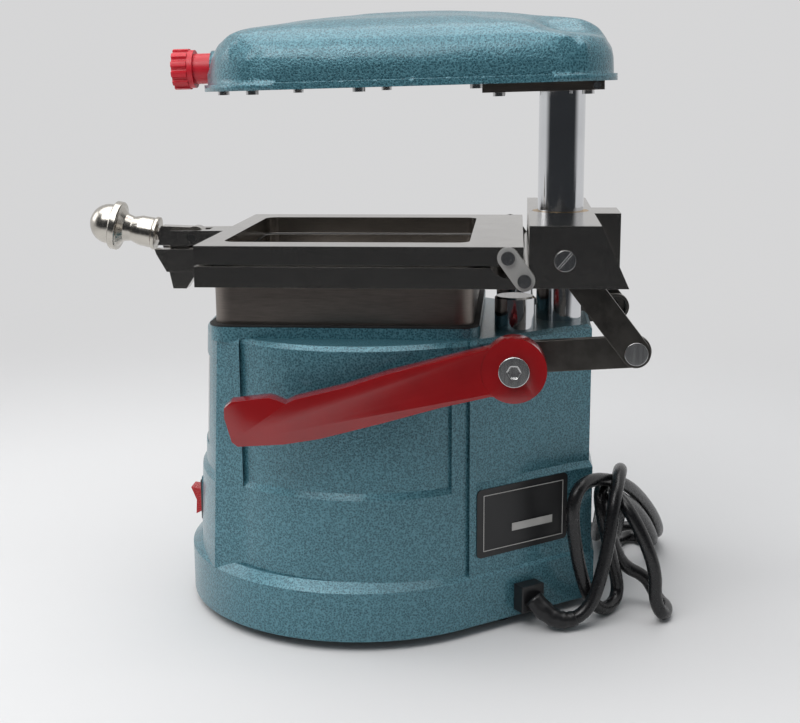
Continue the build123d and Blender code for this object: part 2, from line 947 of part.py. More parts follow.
def make_rocker(x):
    """One rocker button, its upper end out, on a pin across the machine."""
    turn = math.radians(rocker_tilt)
    plane = Plane(
        origin=(column_x + x - rocker_width / 2, column_y + rocker_pivot_y, switch_z),
        x_dir=(0, math.cos(turn), math.sin(turn)),
        z_dir=(1, 0, 0),
    )
    with BuildPart() as rocker:
        prism(
            plane,
            (
                (-rocker_reach, rocker_height / 2 - rocker_trim),
                (-rocker_reach + rocker_dish, 0),
                (-rocker_reach, rocker_trim - rocker_height / 2),
                (rocker_root, -rocker_root),
                (rocker_root, rocker_root),
            ),
            rocker_width,
        )
        bars(
            side(x - rocker_width / 2 - rocker_pin_reach),
            [(rocker_pivot_y, switch_z)],
            rocker_width + 2 * rocker_pin_reach,
            rocker_pin_radius,
        )
    return rocker


keep("rocker_heat", make_rocker(switch_x))
keep("rocker_vacuum", make_rocker(-switch_x))

# ---------------------------------------------------------------- vacuum chamber

grid_top = chamber_top - grid_drop
chamber_inner = chamber_half - chamber_wall
grid_half = chamber_inner + grid_ledge - seat_gap


def rounded_square(height, half, corner, length, mode=Mode.ADD):
    """A square block with rounded upright edges, centred under the sheet window."""
    spans = ((-half, half), (chamber_y - half, chamber_y + half), (height, height + length))
    block(*spans, corner=corner, mode=mode)


with BuildPart() as chamber_gasket:
    rounded_square(gasket_z, chamber_half + plinth_margin - part_gap, chamber_corner, gasket_thickness)
    for places, radius in (
        ([(0, motor_y)], suction_radius),
        (chamber_screw_places, screw_radius + seat_gap),
    ):
        bars(level(gasket_z), places, gasket_thickness, radius, mode=Mode.SUBTRACT)
keep("chamber_gasket", chamber_gasket)

with BuildPart() as vacuum_chamber:
    rounded_square(chamber_z, chamber_half, chamber_corner, chamber_top - chamber_z)
    rounded_square(
        chamber_z + chamber_floor,
        chamber_inner,
        chamber_corner - chamber_wall,
        chamber_top - chamber_z,
        mode=Mode.SUBTRACT,
    )
    rounded_square(
        grid_top - grid_thickness,
        grid_half + seat_gap,
        chamber_corner - chamber_wall + grid_ledge,
        chamber_top - grid_top + grid_thickness,
        mode=Mode.SUBTRACT,
    )
    for places, radius, depth in (
        ([(0, motor_y)], suction_radius, chamber_floor),
        (chamber_screw_places, screw_radius, chamber_floor - part_gap),
    ):
        bars(level(chamber_z), places, depth, radius, mode=Mode.SUBTRACT)
keep("vacuum_chamber", vacuum_chamber)

with BuildPart() as perforated_plate:
    rounded_square(
        grid_top - grid_thickness,
        grid_half,
        chamber_corner - chamber_wall + grid_ledge,
        grid_thickness,
    )
    with BuildSketch(level(grid_top - grid_thickness)):
        with Locations((0, chamber_y)):
            with GridLocations(grid_pitch, grid_pitch, grid_count, grid_count):
                Circle(grid_hole)
    extrude(amount=grid_thickness, mode=Mode.SUBTRACT)
keep("perforated_plate", perforated_plate)

with BuildPart() as rim_gasket:
    rounded_square(chamber_top, chamber_half - part_gap, chamber_corner, rim_gasket_thickness)
    rounded_square(
        chamber_top,
        chamber_half - part_gap - rim_gasket_width,
        chamber_corner - rim_gasket_width,
        rim_gasket_thickness,
        mode=Mode.SUBTRACT,
    )
keep("rim_gasket", rim_gasket)

under_top = base_top - top_wall
with BuildPart() as chamber_screws:
    bars(
        level(under_top - screw_head_height),
        chamber_screw_places,
        screw_head_height,
        screw_head_radius,
    )
    bars(
        level(under_top),
        chamber_screw_places,
        chamber_z + chamber_floor - clear_gap - under_top,
        shank_radius,
    )
keep("chamber_screws", chamber_screws)

# ---------------------------------------------------------------- vacuum motor

motor_axis = [(0, motor_y)]
can_bottom = motor_top - motor_can_height - fan_case_height
case_bottom = motor_top - fan_case_height
bearing_seats = (can_bottom + motor_wall, case_bottom - bearing_width)
mount_height = under_top - motor_top + mount_lug
with BuildPart() as motor_housing:
    bars(level(can_bottom), motor_axis, motor_can_height, motor_can_radius)
    bars(level(case_bottom), motor_axis, fan_case_height, fan_case_radius)
    bars(level(motor_top - mount_lug), mount_places, mount_height, mount_radius)
    # hollow of the fan case and of the motor can
    bars(
        level(case_bottom + motor_wall),
        motor_axis,
        fan_case_height - 2 * motor_wall,
        fan_case_radius - motor_wall,
        mode=Mode.SUBTRACT,
    )
    bars(
        level(can_bottom + motor_wall),
        motor_axis,
        motor_can_height - motor_wall - bearing_width,
        motor_can_radius - motor_wall,
        mode=Mode.SUBTRACT,
    )
    # seats of the two bearings
    bars(level(bearing_seats[0]), motor_axis, bearing_width, bearing_radius + motor_wall)
    for seat in bearing_seats:
        bars(level(seat), motor_axis, bearing_width, bearing_radius + running_gap, mode=Mode.SUBTRACT)
    bars(
        level(case_bottom),
        motor_axis,
        motor_wall,
        motor_shaft_radius + clear_gap,
        mode=Mode.SUBTRACT,
    )
    # inlet, cooling holes and screw holes
    bars(level(motor_top - motor_wall), motor_axis, motor_wall, suction_radius, mode=Mode.SUBTRACT)
    with BuildSketch(level(can_bottom)):
        with Locations((0, motor_y)):
            with PolarLocations((motor_can_radius + bearing_radius) / 2, vent_count):
                Circle(vent_width)
    extrude(amount=motor_wall, mode=Mode.SUBTRACT)
    bars(
        level(motor_top - mount_lug),
        mount_places,
        mount_height,
        screw_radius + seat_gap,
        mode=Mode.SUBTRACT,
    )
keep("motor_housing", motor_housing)

with BuildPart() as motor_bearings:
    for seat in bearing_seats:
        bars(level(seat), motor_axis, bearing_width, bearing_radius, motor_shaft_radius + running_gap)
keep("motor_bearings", motor_bearings)

with BuildPart() as motor_rotor:
    shaft_bottom = can_bottom + motor_wall + clear_gap
    fan_bottom = case_bottom + motor_wall + fan_clearance
    armature_bottom = bearing_seats[0] + bearing_width + 2 * clear_gap
    bars(level(shaft_bottom), motor_axis, fan_bottom + fan_height - shaft_bottom, motor_shaft_radius)
    bars(level(fan_bottom), motor_axis, fan_height, fan_radius)
    bars(level(armature_bottom), motor_axis, armature_length, armature_radius)
    with BuildSketch(level(fan_bottom + motor_wall)):
        with Locations((0, motor_y)):
            with PolarLocations(fan_radius / 2 + motor_shaft_radius, fan_blades):
                Rectangle(fan_radius - fan_hub_radius, fan_channel)
    extrude(amount=fan_height, mode=Mode.SUBTRACT)
keep("motor_rotor", motor_rotor)

with BuildPart() as motor_seal:
    bars(
        level(motor_top),
        motor_axis,
        under_top - motor_top,
        suction_radius + seal_width,
        suction_radius,
    )
keep("motor_seal", motor_seal)

with BuildPart() as motor_screws:
    mount_head_z = motor_top - mount_lug - screw_head_height
    bars(level(mount_head_z), mount_places, screw_head_height, screw_head_radius)
    bars(
        level(mount_head_z),
        mount_places,
        under_top + mount_depth - seat_gap - mount_head_z,
        shank_radius,
    )
keep("motor_screws", motor_screws)

# ---------------------------------------------------------------- column and pillars

column_axis = [(0, 0)]

with BuildPart() as column:
    bars(level(column_foot), column_axis, socket_floor - column_foot, column_stub_radius)
    bars(level(socket_floor), column_axis, column_top - socket_floor, column_radius)
    chamfer(column.edges().group_by(Axis.Z)[-1], length=frame_bevel)
    bars(level(column_foot), column_axis, column_top - column_foot, column_bore, mode=Mode.SUBTRACT)
keep("column", column)

with BuildPart() as column_nut:
    with BuildSketch(level(socket_floor - socket_floor_thickness - nut_thickness)):
        RegularPolygon(nut_radius, 6)
        Circle(column_stub_radius + running_gap, mode=Mode.SUBTRACT)
    extrude(amount=nut_thickness)
keep("column_nut", column_nut)

with BuildPart() as terminal_block:
    block(
        (-terminal_width / 2, terminal_width / 2),
        (-terminal_depth / 2, terminal_depth / 2),
        (column_foot - terminal_height, column_foot),
    )
keep("terminal_block", terminal_block)

with BuildPart() as heater_lead:
    bars(level(column_foot), column_axis, column_top - column_foot - clear_gap, lead_radius)
keep("heater_lead", heater_lead)

pillar_places = [(pillar_x, shaft_y), (-pillar_x, shaft_y)]
shaft_place = [(shaft_y, shaft_z)]

with BuildPart() as bearing_pillars:
    bars(level(pillar_seat), pillar_places, pillar_top - pillar_seat, pillar_radius)
    chamfer(bearing_pillars.edges().group_by(Axis.Z)[-1], length=frame_bevel)
    bars(
        side(-pillar_x - pillar_radius),
        shaft_place,
        2 * (pillar_x + pillar_radius),
        shaft_bush_radius + running_gap,
        mode=Mode.SUBTRACT,
    )
keep("bearing_pillars", bearing_pillars)

with BuildPart() as shaft_bushes:
    for bush_x in (pillar_x, -pillar_x):
        bars(
            side(bush_x - shaft_bush_length / 2),
            shaft_place,
            shaft_bush_length,
            shaft_bush_radius,
            shaft_radius + running_gap,
        )
keep("shaft_bushes", shaft_bushes)

# ---------------------------------------------------------------- clamp frame

frame_x = (-frame_half_x, frame_half_x)
window_x = (-window / 2, window / 2)
window_spans = (window_x, (window_front_y, window_front_y + window))
hinge_upper = (hinge_upper_y, hinge_upper_z)
hinge_lower = (hinge_lower_y, hinge_lower_z)
lower_top = lower_bottom + lower_thickness
nose_bottom = min(point[1] for point in nose_outline)


def sheet_groove(z_span):
    """Groove round the window for the rubber that grips the sheet."""
    inner = window / 2 + sheet_gasket_inset
    outer = inner + sheet_gasket_width
    with BuildSketch(level(z_span[0])) as ring:
        with Locations((0, window_y)):
            RectangleRounded(2 * outer, 2 * outer, window_corner + sheet_gasket_width)
            RectangleRounded(2 * inner, 2 * inner, window_corner, mode=Mode.SUBTRACT)
    return extrude(ring.sketch, amount=z_span[1] - z_span[0])


def hinge_holes(place):
    """Threaded holes for the hinge screws, one from each side."""
    for turned in (1, -1):
        bars(
            side(turned * frame_half_x),
            [place],
            -turned * hinge_screw_length,
            hinge_screw_radius + running_gap,
            mode=Mode.SUBTRACT,
        )


lower_ring = sheet_groove((lower_top - sheet_gasket_depth, lower_top))
upper_ring = sheet_groove((upper_bottom, upper_bottom + sheet_gasket_depth))

with BuildPart() as lower_plate:
    block(frame_x, (frame_front_y, carriage_front_y), (lower_bottom, lower_top))
    prism(side(-ear_half_width), nose_outline, 2 * ear_half_width)
    block(*window_spans, (lower_bottom, lower_top), corner=window_corner, mode=Mode.SUBTRACT)
    block(
        (-slot_half_width, slot_half_width),
        (knob_base_y, catch_wall_y),
        (nose_bottom, lower_top),
        mode=Mode.SUBTRACT,
    )
    # relief under the swinging rear end of the upper plate
    bars(side(-frame_half_x), [hinge_upper], 2 * frame_half_x, hinge_relief, mode=Mode.SUBTRACT)
    # screw holes
    hinge_holes(hinge_lower)
    bars(
        facing_front(carriage_front_y),
        frame_screw_places,
        frame_screw_depth,
        screw_radius,
        mode=Mode.SUBTRACT,
    )
    add(lower_ring, mode=Mode.SUBTRACT)
keep("lower_plate", lower_plate)

with BuildPart() as lower_gasket:
    add(lower_ring)
keep("lower_gasket", lower_gasket)

with BuildPart() as upper_plate:
    block(frame_x, (frame_front_y, upper_rear_y), (upper_bottom, upper_top))
    # rear end rounded about the hinge below its centre
    block(
        frame_x,
        (hinge_upper_y, upper_rear_y),
        (upper_bottom, hinge_upper_z),
        mode=Mode.SUBTRACT,
    )
    block(
        frame_x,
        (hinge_upper_y - hinge_screw_radius, upper_rear_y),
        (hinge_upper_z, upper_top),
    )
    bars(side(-frame_half_x), [hinge_upper], 2 * frame_half_x, upper_rear_y - hinge_upper_y)
    for trim_span in ((lower_bottom, upper_bottom), (upper_top, upper_top + upper_thickness)):
        block(frame_x, (frame_front_y, upper_rear_y), trim_span, mode=Mode.SUBTRACT)
    prism(side(-ear_half_width), ear_outline, 2 * ear_half_width)
    block(*window_spans, (upper_bottom, upper_top), corner=window_corner, mode=Mode.SUBTRACT)
    block(
        (-slot_half_width, slot_half_width),
        (knob_base_y, ear_slot_y),
        (upper_bottom, upper_top),
        mode=Mode.SUBTRACT,
    )
    hinge_holes(hinge_upper)
    bars(
        side(-ear_half_width),
        [(latch_pin_y, latch_pin_z)],
        2 * ear_half_width,
        latch_pin_radius + running_gap,
        mode=Mode.SUBTRACT,
    )
    add(upper_ring, mode=Mode.SUBTRACT)
keep("upper_plate", upper_plate)

with BuildPart() as upper_gasket:
    add(upper_ring)
keep("upper_gasket", upper_gasket)

with BuildPart() as latch_pin:
    bars(
        side(-ear_half_width),
        [(latch_pin_y, latch_pin_z)],
        2 * ear_half_width,
        latch_pin_radius,
    )
keep("latch_pin", latch_pin)

# hinge plates and their screws, at both sides
hinge_inner_x = frame_half_x + seat_gap
hinge_head_x = hinge_inner_x + hinge_plate_thickness + seat_gap
hinge_span = math.dist(hinge_upper, hinge_lower)
hinge_angle = math.degrees(math.atan2(hinge_upper_z - hinge_lower_z, hinge_upper_y - hinge_lower_y))
hinge_middle = ((hinge_upper_y + hinge_lower_y) / 2, (hinge_upper_z + hinge_lower_z) / 2)

with BuildPart() as hinge_plates:
    for inner_x in (hinge_inner_x, -hinge_inner_x - hinge_plate_thickness):
        with BuildSketch(side(inner_x)):
            with Locations(hinge_middle):
                SlotCenterToCenter(hinge_span, hinge_plate_width, rotation=hinge_angle)
            with Locations(hinge_upper, hinge_lower):
                Circle(hinge_screw_radius + running_gap, mode=Mode.SUBTRACT)
        extrude(amount=hinge_plate_thickness)
keep("hinge_plates", hinge_plates)


def hinge_screws(place):
    """A pair of socket screws that hold the hinge plates at one of their ends."""
    with BuildPart() as screws:
        for turned in (1, -1):
            plane = side(turned * hinge_head_x)
            bars(plane, [place], turned * hinge_head_height, hinge_head_radius, hinge_socket)
            bars(plane, [place], -turned * hinge_screw_length, hinge_screw_radius)
            bars(plane, [place], turned * seat_gap, hinge_head_radius)
    return screws


keep("lower_hinge_screws", hinge_screws(hinge_lower))
keep("upper_hinge_screws", hinge_screws(hinge_upper))

# ---------------------------------------------------------------- latch

knob_turn = math.radians(knob_rise)
knob_plane = Plane(
    origin=(column_x, column_y + knob_base_y, knob_base_z),
    x_dir=(1, 0, 0),
    z_dir=(0, -math.cos(knob_turn), math.sin(knob_turn)),
)

with BuildPart() as latch_lever:
    prism(side(-latch_half_width), latch_outline, 2 * latch_half_width)
    bars(
        side(-latch_half_width),
        [(latch_pin_y, latch_pin_z)],
        2 * latch_half_width,
        latch_hub_radius,
    )
    bars(
        side(-latch_half_width),
        [(latch_pin_y, latch_pin_z)],
        2 * latch_half_width,
        latch_pin_radius + running_gap,
        mode=Mode.SUBTRACT,
    )
    bars(knob_plane, [(0, 0)], knob_stud_length, knob_stud_radius)
    bars(knob_plane, [(0, 0)], -knob_stud_radius, knob_stud_radius)
keep("latch_lever", latch_lever)

# the knob's round end is part of a ball whose centre is on the axis
dome_centre = (knob_length**2 - knob_ring_end**2 - knob_dome_radius**2) / (
    2 * (knob_length - knob_ring_end)
)
dome_reach = (knob_length - dome_centre) * math.sqrt(0.5)
dome_middle = (dome_centre + dome_reach, dome_reach)

with BuildPart() as latch_knob:
    # the profile is drawn as (distance along the axis, radius)
    profile_plane = Plane(
        origin=knob_plane.origin,
        x_dir=knob_plane.z_dir,
        z_dir=(1, 0, 0),
    )
    with BuildSketch(profile_plane):
        with BuildLine():
            shank = Polyline((knob_flange, 0), *knob_profile, (knob_ring_end, knob_dome_radius))
            dome = ThreePointArc(shank @ 1, dome_middle, (knob_length, 0))
            Line(dome @ 1, shank @ 0)
        make_face()
    revolve(axis=Axis(knob_plane.origin, knob_plane.z_dir))
    bars(
        knob_plane,
        [(0, 0)],
        knob_stud_length + seat_gap,
        knob_stud_radius + running_gap,
        mode=Mode.SUBTRACT,
    )
keep("latch_knob", latch_knob)

# ---------------------------------------------------------------- carriage

pivot_place = [(0, pivot_z)]
bush_seats = (carriage_bottom, carriage_top - bush_length)

with BuildPart() as carriage:
    prism(
        side(-frame_half_x + part_gap / 2),
        (
            (carriage_front_y, carriage_bottom),
            (carriage_front_y, carriage_top),
            (carriage_rear_top_y, carriage_top),
            (carriage_rear_y, carriage_bottom),
        ),
        2 * frame_half_x - part_gap,
    )
    # hollow between the cheeks, open below
    for inner_x in (carriage_bridge, -cheek_x):
        block(
            (inner_x, inner_x + cheek_x - carriage_bridge),
            (carriage_front_y + carriage_wall, carriage_rear_y),
            (carriage_bottom, carriage_top - carriage_wall),
            mode=Mode.SUBTRACT,
        )
    block(
        (-lug_half_width, lug_half_width),
        (carriage_front_y, lug_y),
        (carriage_bottom, carriage_top),
    )
    # bore for the column and seats of the two bushes
    bars(
        level(carriage_bottom),
        column_axis,
        carriage_top - carriage_bottom,
        column_radius + clear_gap,
        mode=Mode.SUBTRACT,
    )
    for seat in bush_seats:
        bars(level(seat), column_axis, bush_length, bush_radius + running_gap, mode=Mode.SUBTRACT)
    # holes for the link pivots and for the screws of the lower plate
    for turned in (1, -1):
        bars(
            side(turned * frame_half_x),
            pivot_place,
            turned * (cheek_x - frame_half_x) * 2,
            pivot_radius + running_gap,
            mode=Mode.SUBTRACT,
        )
    bars(
        facing_front(carriage_front_y),
        frame_screw_places,
        -carriage_wall,
        screw_radius + seat_gap,
        mode=Mode.SUBTRACT,
    )
keep("carriage", carriage)

with BuildPart() as carriage_bushes:
    for seat in bush_seats:
        bars(level(seat), column_axis, bush_length, bush_radius, column_radius + running_gap)
keep("carriage_bushes", carriage_bushes)

with BuildPart() as lower_plate_screws:
    screw_seat = facing_front(carriage_front_y + carriage_wall)
    bars(screw_seat, frame_screw_places, -screw_head_height, screw_head_radius)
    bars(screw_seat, frame_screw_places, carriage_wall + frame_screw_depth - seat_gap, shank_radius)
keep("lower_plate_screws", lower_plate_screws)

with BuildPart() as pivot_screws:
    for turned in (1, -1):
        cheek_face = side(turned * (frame_half_x - part_gap / 2))
        bars(cheek_face, pivot_place, turned * pivot_head_height, pivot_head_radius)
        bars(cheek_face, pivot_place, turned * (link_x - frame_half_x), pivot_radius)
        with BuildSketch(side(turned * (frame_half_x + pivot_head_height))) as driver_slot:
            with Locations(*pivot_place):
                Rectangle(2 * pivot_head_radius, pivot_slot, rotation=pivot_slot_turn)
        extrude(driver_slot.sketch, amount=-turned * pivot_slot_depth, mode=Mode.SUBTRACT)
keep("pivot_screws", pivot_screws)

# ---------------------------------------------------------------- links, cranks, shaft

crank_pin = (crank_pin_y, crank_pin_z)
pivot = (0, pivot_z)
link_angle = math.degrees(math.atan2(pivot_z - crank_pin_z, -crank_pin_y))


def bar_between(x, first, second, width, turn, thickness):
    """A flat bar with round ends, upright, between two places seen from the right."""
    with BuildSketch(side(x)) as outline:
        with Locations(((first[0] + second[0]) / 2, (first[1] + second[1]) / 2)):
            SlotCenterToCenter(math.dist(first, second), width, rotation=turn)
    extrude(outline.sketch, amount=thickness)


with BuildPart() as links:
    for inner_x in (link_x, -link_x - link_thickness):
        bar_between(inner_x, crank_pin, pivot, link_width, link_angle, link_thickness)
        for place, hole in ((pivot, pivot_radius), (crank_pin, crank_pin_radius)):
            bars(side(inner_x), [place], link_thickness, hole + running_gap, mode=Mode.SUBTRACT)
keep("links", links)

with BuildPart() as link_pins:
    for turned in (1, -1):
        link_face = side(turned * (link_x + link_thickness))
        pin_length = link_thickness + link_gap + crank_thickness
        bars(link_face, [crank_pin], turned * link_pin_head, link_pin_radius)
        bars(link_face, [crank_pin], -turned * pin_length, crank_pin_radius)
keep("link_pins", link_pins)


with BuildPart() as crank_arms:
    for inner_x in (crank_x, -crank_x - crank_thickness):
        bar_between(inner_x, shaft_place[0], crank_pin, crank_width, crank_rest, crank_thickness)
        for place, hole in (
            (shaft_place[0], shaft_radius + running_gap),
            (crank_pin, crank_eye_radius),
        ):
            bars(side(inner_x), [place], crank_thickness, hole, mode=Mode.SUBTRACT)
keep("crank_arms", crank_arms)

with BuildPart() as lever_shaft:
    bars(side(-shaft_end_x), shaft_place, shaft_end_x + shaft_inside_hub, shaft_radius)
    bars(
        side(shaft_inside_hub),
        shaft_place,
        -hub_screw_depth,
        hub_screw_shank + running_gap,
        mode=Mode.SUBTRACT,
    )
keep("lever_shaft", lever_shaft)

arm_plane = Plane(
    origin=(column_x + arm_inner_x, column_y + shaft_y, shaft_z),
    x_dir=(-math.sin(splay), math.cos(splay), 0),
    z_dir=(math.cos(splay), math.sin(splay), 0),
)

with BuildPart() as lever_handle:
    bars(side(hub_inner_x), shaft_place, hub_face_x - hub_inner_x, hub_neck_radius)
    bars(side(hub_back_x), shaft_place, hub_face_x - hub_back_x, hub_radius)
    prism(arm_plane, arm_outline, arm_thickness)
    bars(
        side(hub_inner_x),
        shaft_place,
        shaft_inside_hub - hub_inner_x + part_gap,
        shaft_radius + running_gap,
        mode=Mode.SUBTRACT,
    )
    bars(
        side(hub_inner_x),
        shaft_place,
        hub_face_x - hub_inner_x,
        hub_screw_shank + seat_gap,
        mode=Mode.SUBTRACT,
    )
    # flat seat for the screw's head
    bars(side(hub_face_x), shaft_place, hub_radius, hub_radius, mode=Mode.SUBTRACT)
keep("lever_handle", lever_handle)

with BuildPart() as hub_screw:
    bars(side(hub_face_x), shaft_place, hub_screw_height, hub_screw_radius)
    bars(
        side(hub_face_x),
        shaft_place,
        shaft_inside_hub - hub_screw_depth + seat_gap - hub_face_x,
        hub_screw_shank,
    )
    with BuildSketch(side(hub_face_x + hub_screw_height)) as socket:
        with Locations(*shaft_place):
            RegularPolygon(hub_socket, 6)
    extrude(socket.sketch, amount=-hub_screw_height / 2, mode=Mode.SUBTRACT)
keep("hub_screw", hub_screw)

# ---------------------------------------------------------------- heater head

droop = math.radians(head_droop)


def head_level(height):
    """Plane of the drooping head, local y to the rear."""
    return Plane(
        origin=(
            column_x,
            column_y - height * math.sin(droop),
            head_z + height * math.cos(droop),
        ),
        x_dir=(1, 0, 0),
        z_dir=(0, -math.sin(droop), math.cos(droop)),
    )


def head_side(x):
    """Upright plane of the head facing right: local x to the rear, local y up."""
    return Plane(
        origin=(column_x + x, column_y, head_z),
        x_dir=(0, math.cos(droop), math.sin(droop)),
        z_dir=(1, 0, 0),
    )


def head_front(y):
    """Upright plane of the head facing the front: local x to the right, local y up."""
    return Plane(
        origin=(
            column_x,
            column_y + y * math.cos(droop),
            head_z + y * math.sin(droop),
        ),
        x_dir=(1, 0, 0),
        z_dir=(0, -math.cos(droop), -math.sin(droop)),
    )


def head_plan(inset):
    """Outline of the head seen from above."""
    half = head_half_x - inset
    front = head_front_y + inset
    with BuildSketch() as outline:
        with BuildLine():
            bow = ThreePointArc((-half, front + head_bow), (0, front), (half, front + head_bow))
            rear = head_rear_y - inset
            rear_bow = ThreePointArc(
                (half, rear - head_rear_bow), (0, rear), (-half, rear - head_rear_bow)
            )
            Line(bow @ 1, rear_bow @ 0)
            Line(rear_bow @ 1, bow @ 0)
        make_face()
        ends = outline.vertices().sort_by(Axis.Y)
        fillet(ends[:2], head_front_corner - inset)
        fillet(outline.vertices().sort_by(Axis.Y)[-2:], head_rear_corner - inset)
    return outline.sketch


def head_blank(inset):
    """The domed solid of the head with its raised ridge, smaller by an inset all round."""
    span = head_rear_y - head_front_y
    solids = []
    for profile, section in (
        (shoulder_profile, crown_section),
        (ridge_profile, ridge_section),
    ):
        with BuildPart() as along:
            points = [(y, height - inset) for y, height in profile]
            prism(
                head_side(-head_half_x),
                [(profile[0][0], 0), *points, (profile[-1][0], 0)],
                2 * head_half_x,
            )
        with BuildPart() as across:
            right = [(x - inset, height - inset) for x, height in section if x]
            left = [(-x, height) for x, height in reversed(right)]
            prism(
                head_front(head_front_y),
                [(right[0][0], 0), *right, *left, (left[-1][0], 0)],
                -span,
            )
        solids.append(along.part & across.part)
    with BuildPart() as plan:
        with BuildSketch(head_level(0)):
            add(head_plan(inset))
        extrude(amount=span)
    return (solids[0] + solids[1]) & plan.part


head_outer = head_blank(0)
head_inner = head_blank(head_wall)
with BuildPart() as boss_blank:
    bars(head_level(head_floor), head_screw_places, head_boss_height, head_boss_radius)
    bracket_screw_places = [
        (turned * bracket_screw_x, y) for y in bracket_screw_y for turned in (1, -1)
    ]
    bars(head_level(head_floor), bracket_screw_places, 2 * bracket_hub_height, bracket_boss_radius)
head_bosses = boss_blank.part & head_outer

with BuildPart() as lip_blank:
    with BuildSketch(head_level(0)):
        add(head_plan(-lip_step))
        add(head_plan(head_wall), mode=Mode.SUBTRACT)
    extrude(amount=lip_height)

head_axis = [(0, head_knob_z)]
with BuildPart() as head_shell:
    add(head_outer - head_inner)
    add(lip_blank.part)
    add(head_bosses)
    bars(
        head_front(head_front_y),
        head_axis,
        -head_pad_depth,
        head_knob_neck_radius + head_pad_margin,
    )
    # room for the floor plate
    with BuildSketch(head_level(0)):
        add(head_plan(head_wall))
    extrude(amount=head_floor, mode=Mode.SUBTRACT)
    # screw threads
    bars(head_level(head_floor), head_screw_places, head_boss_height / 2, screw_radius, mode=Mode.SUBTRACT)
    bars(
        head_level(head_floor),
        bracket_screw_places,
        head_boss_height,
        screw_radius,
        mode=Mode.SUBTRACT,
    )
    # seat of the front knob
    bars(
        head_front(head_front_y),
        head_axis,
        2 * lip_step,
        head_knob_neck_radius + seat_gap,
        mode=Mode.SUBTRACT,
    )
    bars(
        head_front(head_front_y),
        head_axis,
        -head_knob_stud - seat_gap,
        head_knob_stud_radius + running_gap,
        mode=Mode.SUBTRACT,
    )
keep("head_shell", head_shell)

heater_spans = ((-heater_half, heater_half), (window_y - heater_half, window_y + heater_half))


def head_box(plane, spans, amount, mode=Mode.ADD):
    """A box that stands on a plane of the head."""
    x_span, y_span = spans
    with BuildSketch(plane) as outline:
        with Locations((sum(x_span) / 2, sum(y_span) / 2)):
            Rectangle(x_span[1] - x_span[0], y_span[1] - y_span[0])
    extrude(outline.sketch, amount=amount, mode=mode)


with BuildPart() as heater_plate:
    with BuildSketch(head_level(0)):
        add(head_plan(head_wall + seat_gap))
    extrude(amount=head_floor)
    head_box(head_level(0), heater_spans, head_floor, mode=Mode.SUBTRACT)
    bars(head_level(0), column_axis, head_floor, bracket_hub_radius + seat_gap, mode=Mode.SUBTRACT)
    bars(
        head_level(0),
        [*head_screw_places, *bracket_screw_places],
        head_floor,
        screw_radius + seat_gap,
        mode=Mode.SUBTRACT,
    )
keep("heater_plate", heater_plate)

with BuildPart() as reflector:
    head_box(head_level(0), heater_spans, reflector_depth)
    head_box(
        head_level(0),
        [(span[0] + reflector_wall, span[1] - reflector_wall) for span in heater_spans],
        reflector_depth - reflector_wall,
        mode=Mode.SUBTRACT,
    )
keep("reflector", reflector)

# serpentine heating element
element_x = [(run - (element_runs - 1) / 2) * element_pitch for run in range(element_runs)]
element_ends = (window_y - element_length / 2, window_y + element_length / 2)
element_top = reflector_depth - reflector_wall - insulator_depth
turn_radius = element_pitch / 2 - seat_gap
element_points = [(element_x[0], element_ends[0])]
for run in range(element_runs):
    far = element_ends[(run + 1) % 2]
    element_points.append((element_x[run], far))
    if run + 1 < element_runs:
        element_points.append((element_x[run + 1], far))
element_end_places = (element_points[0], element_points[-1])

with BuildPart() as heating_element:
    with BuildLine(head_level(element_drop)) as element_path:
        FilletPolyline(*element_points, radius=turn_radius)
    with BuildSketch(head_front(element_ends[0])):
        with Locations((element_x[0], element_drop)):
            Circle(element_radius)
    sweep(path=element_path.line)
    bars(
        head_level(element_drop),
        element_end_places,
        element_top - element_drop,
        element_stem_radius,
    )
keep("heating_element", heating_element)

with BuildPart() as element_insulators:
    for place in element_end_places:
        head_box(
            head_level(element_top),
            [(along - insulator_half_width, along + insulator_half_width) for along in place],
            insulator_depth,
        )
keep("element_insulators", element_insulators)

with BuildPart() as head_bracket:
    head_box(
        head_level(0),
        ((-bracket_half_x, bracket_half_x), (bracket_front_y, bracket_rear_y)),
        -bracket_below,
    )
    bars(level(head_z - bracket_below), column_axis, bracket_below + bracket_hub_height, bracket_hub_radius)
    head_box(
        head_level(-bracket_below),
        ((-bracket_half_x, bracket_half_x), (bracket_front_y, bracket_rear_y)),
        -bracket_below,
        mode=Mode.SUBTRACT,
    )
    bars(
        level(head_z - 2 * bracket_below),
        column_axis,
        2 * bracket_below + bracket_hub_height,
        column_radius + running_gap,
        mode=Mode.SUBTRACT,
    )
    # clamping slot and its bolt's hole
    head_box(
        head_level(-bracket_below),
        ((-bracket_slot / 2, bracket_slot / 2), (0, bracket_rear_y)),
        bracket_below + 2 * bracket_hub_height,
        mode=Mode.SUBTRACT,
    )
    bars(
        head_side(-bracket_half_x),
        [(clamp_bolt_y, -bracket_below / 2)],
        2 * bracket_half_x,
        clamp_bolt_radius + running_gap,
        mode=Mode.SUBTRACT,
    )
    bars(
        head_level(-bracket_below),
        bracket_screw_places,
        bracket_below,
        screw_radius + seat_gap,
        mode=Mode.SUBTRACT,
    )
keep("head_bracket", head_bracket)

with BuildPart() as clamp_bolt:
    bars(
        head_side(bracket_half_x),
        [(clamp_bolt_y, -bracket_below / 2)],
        -2 * bracket_half_x,
        clamp_bolt_radius,
    )
    bars(
        head_side(bracket_half_x),
        [(clamp_bolt_y, -bracket_below / 2)],
        clamp_head_height,
        clamp_head_radius,
    )
keep("clamp_bolt", clamp_bolt)

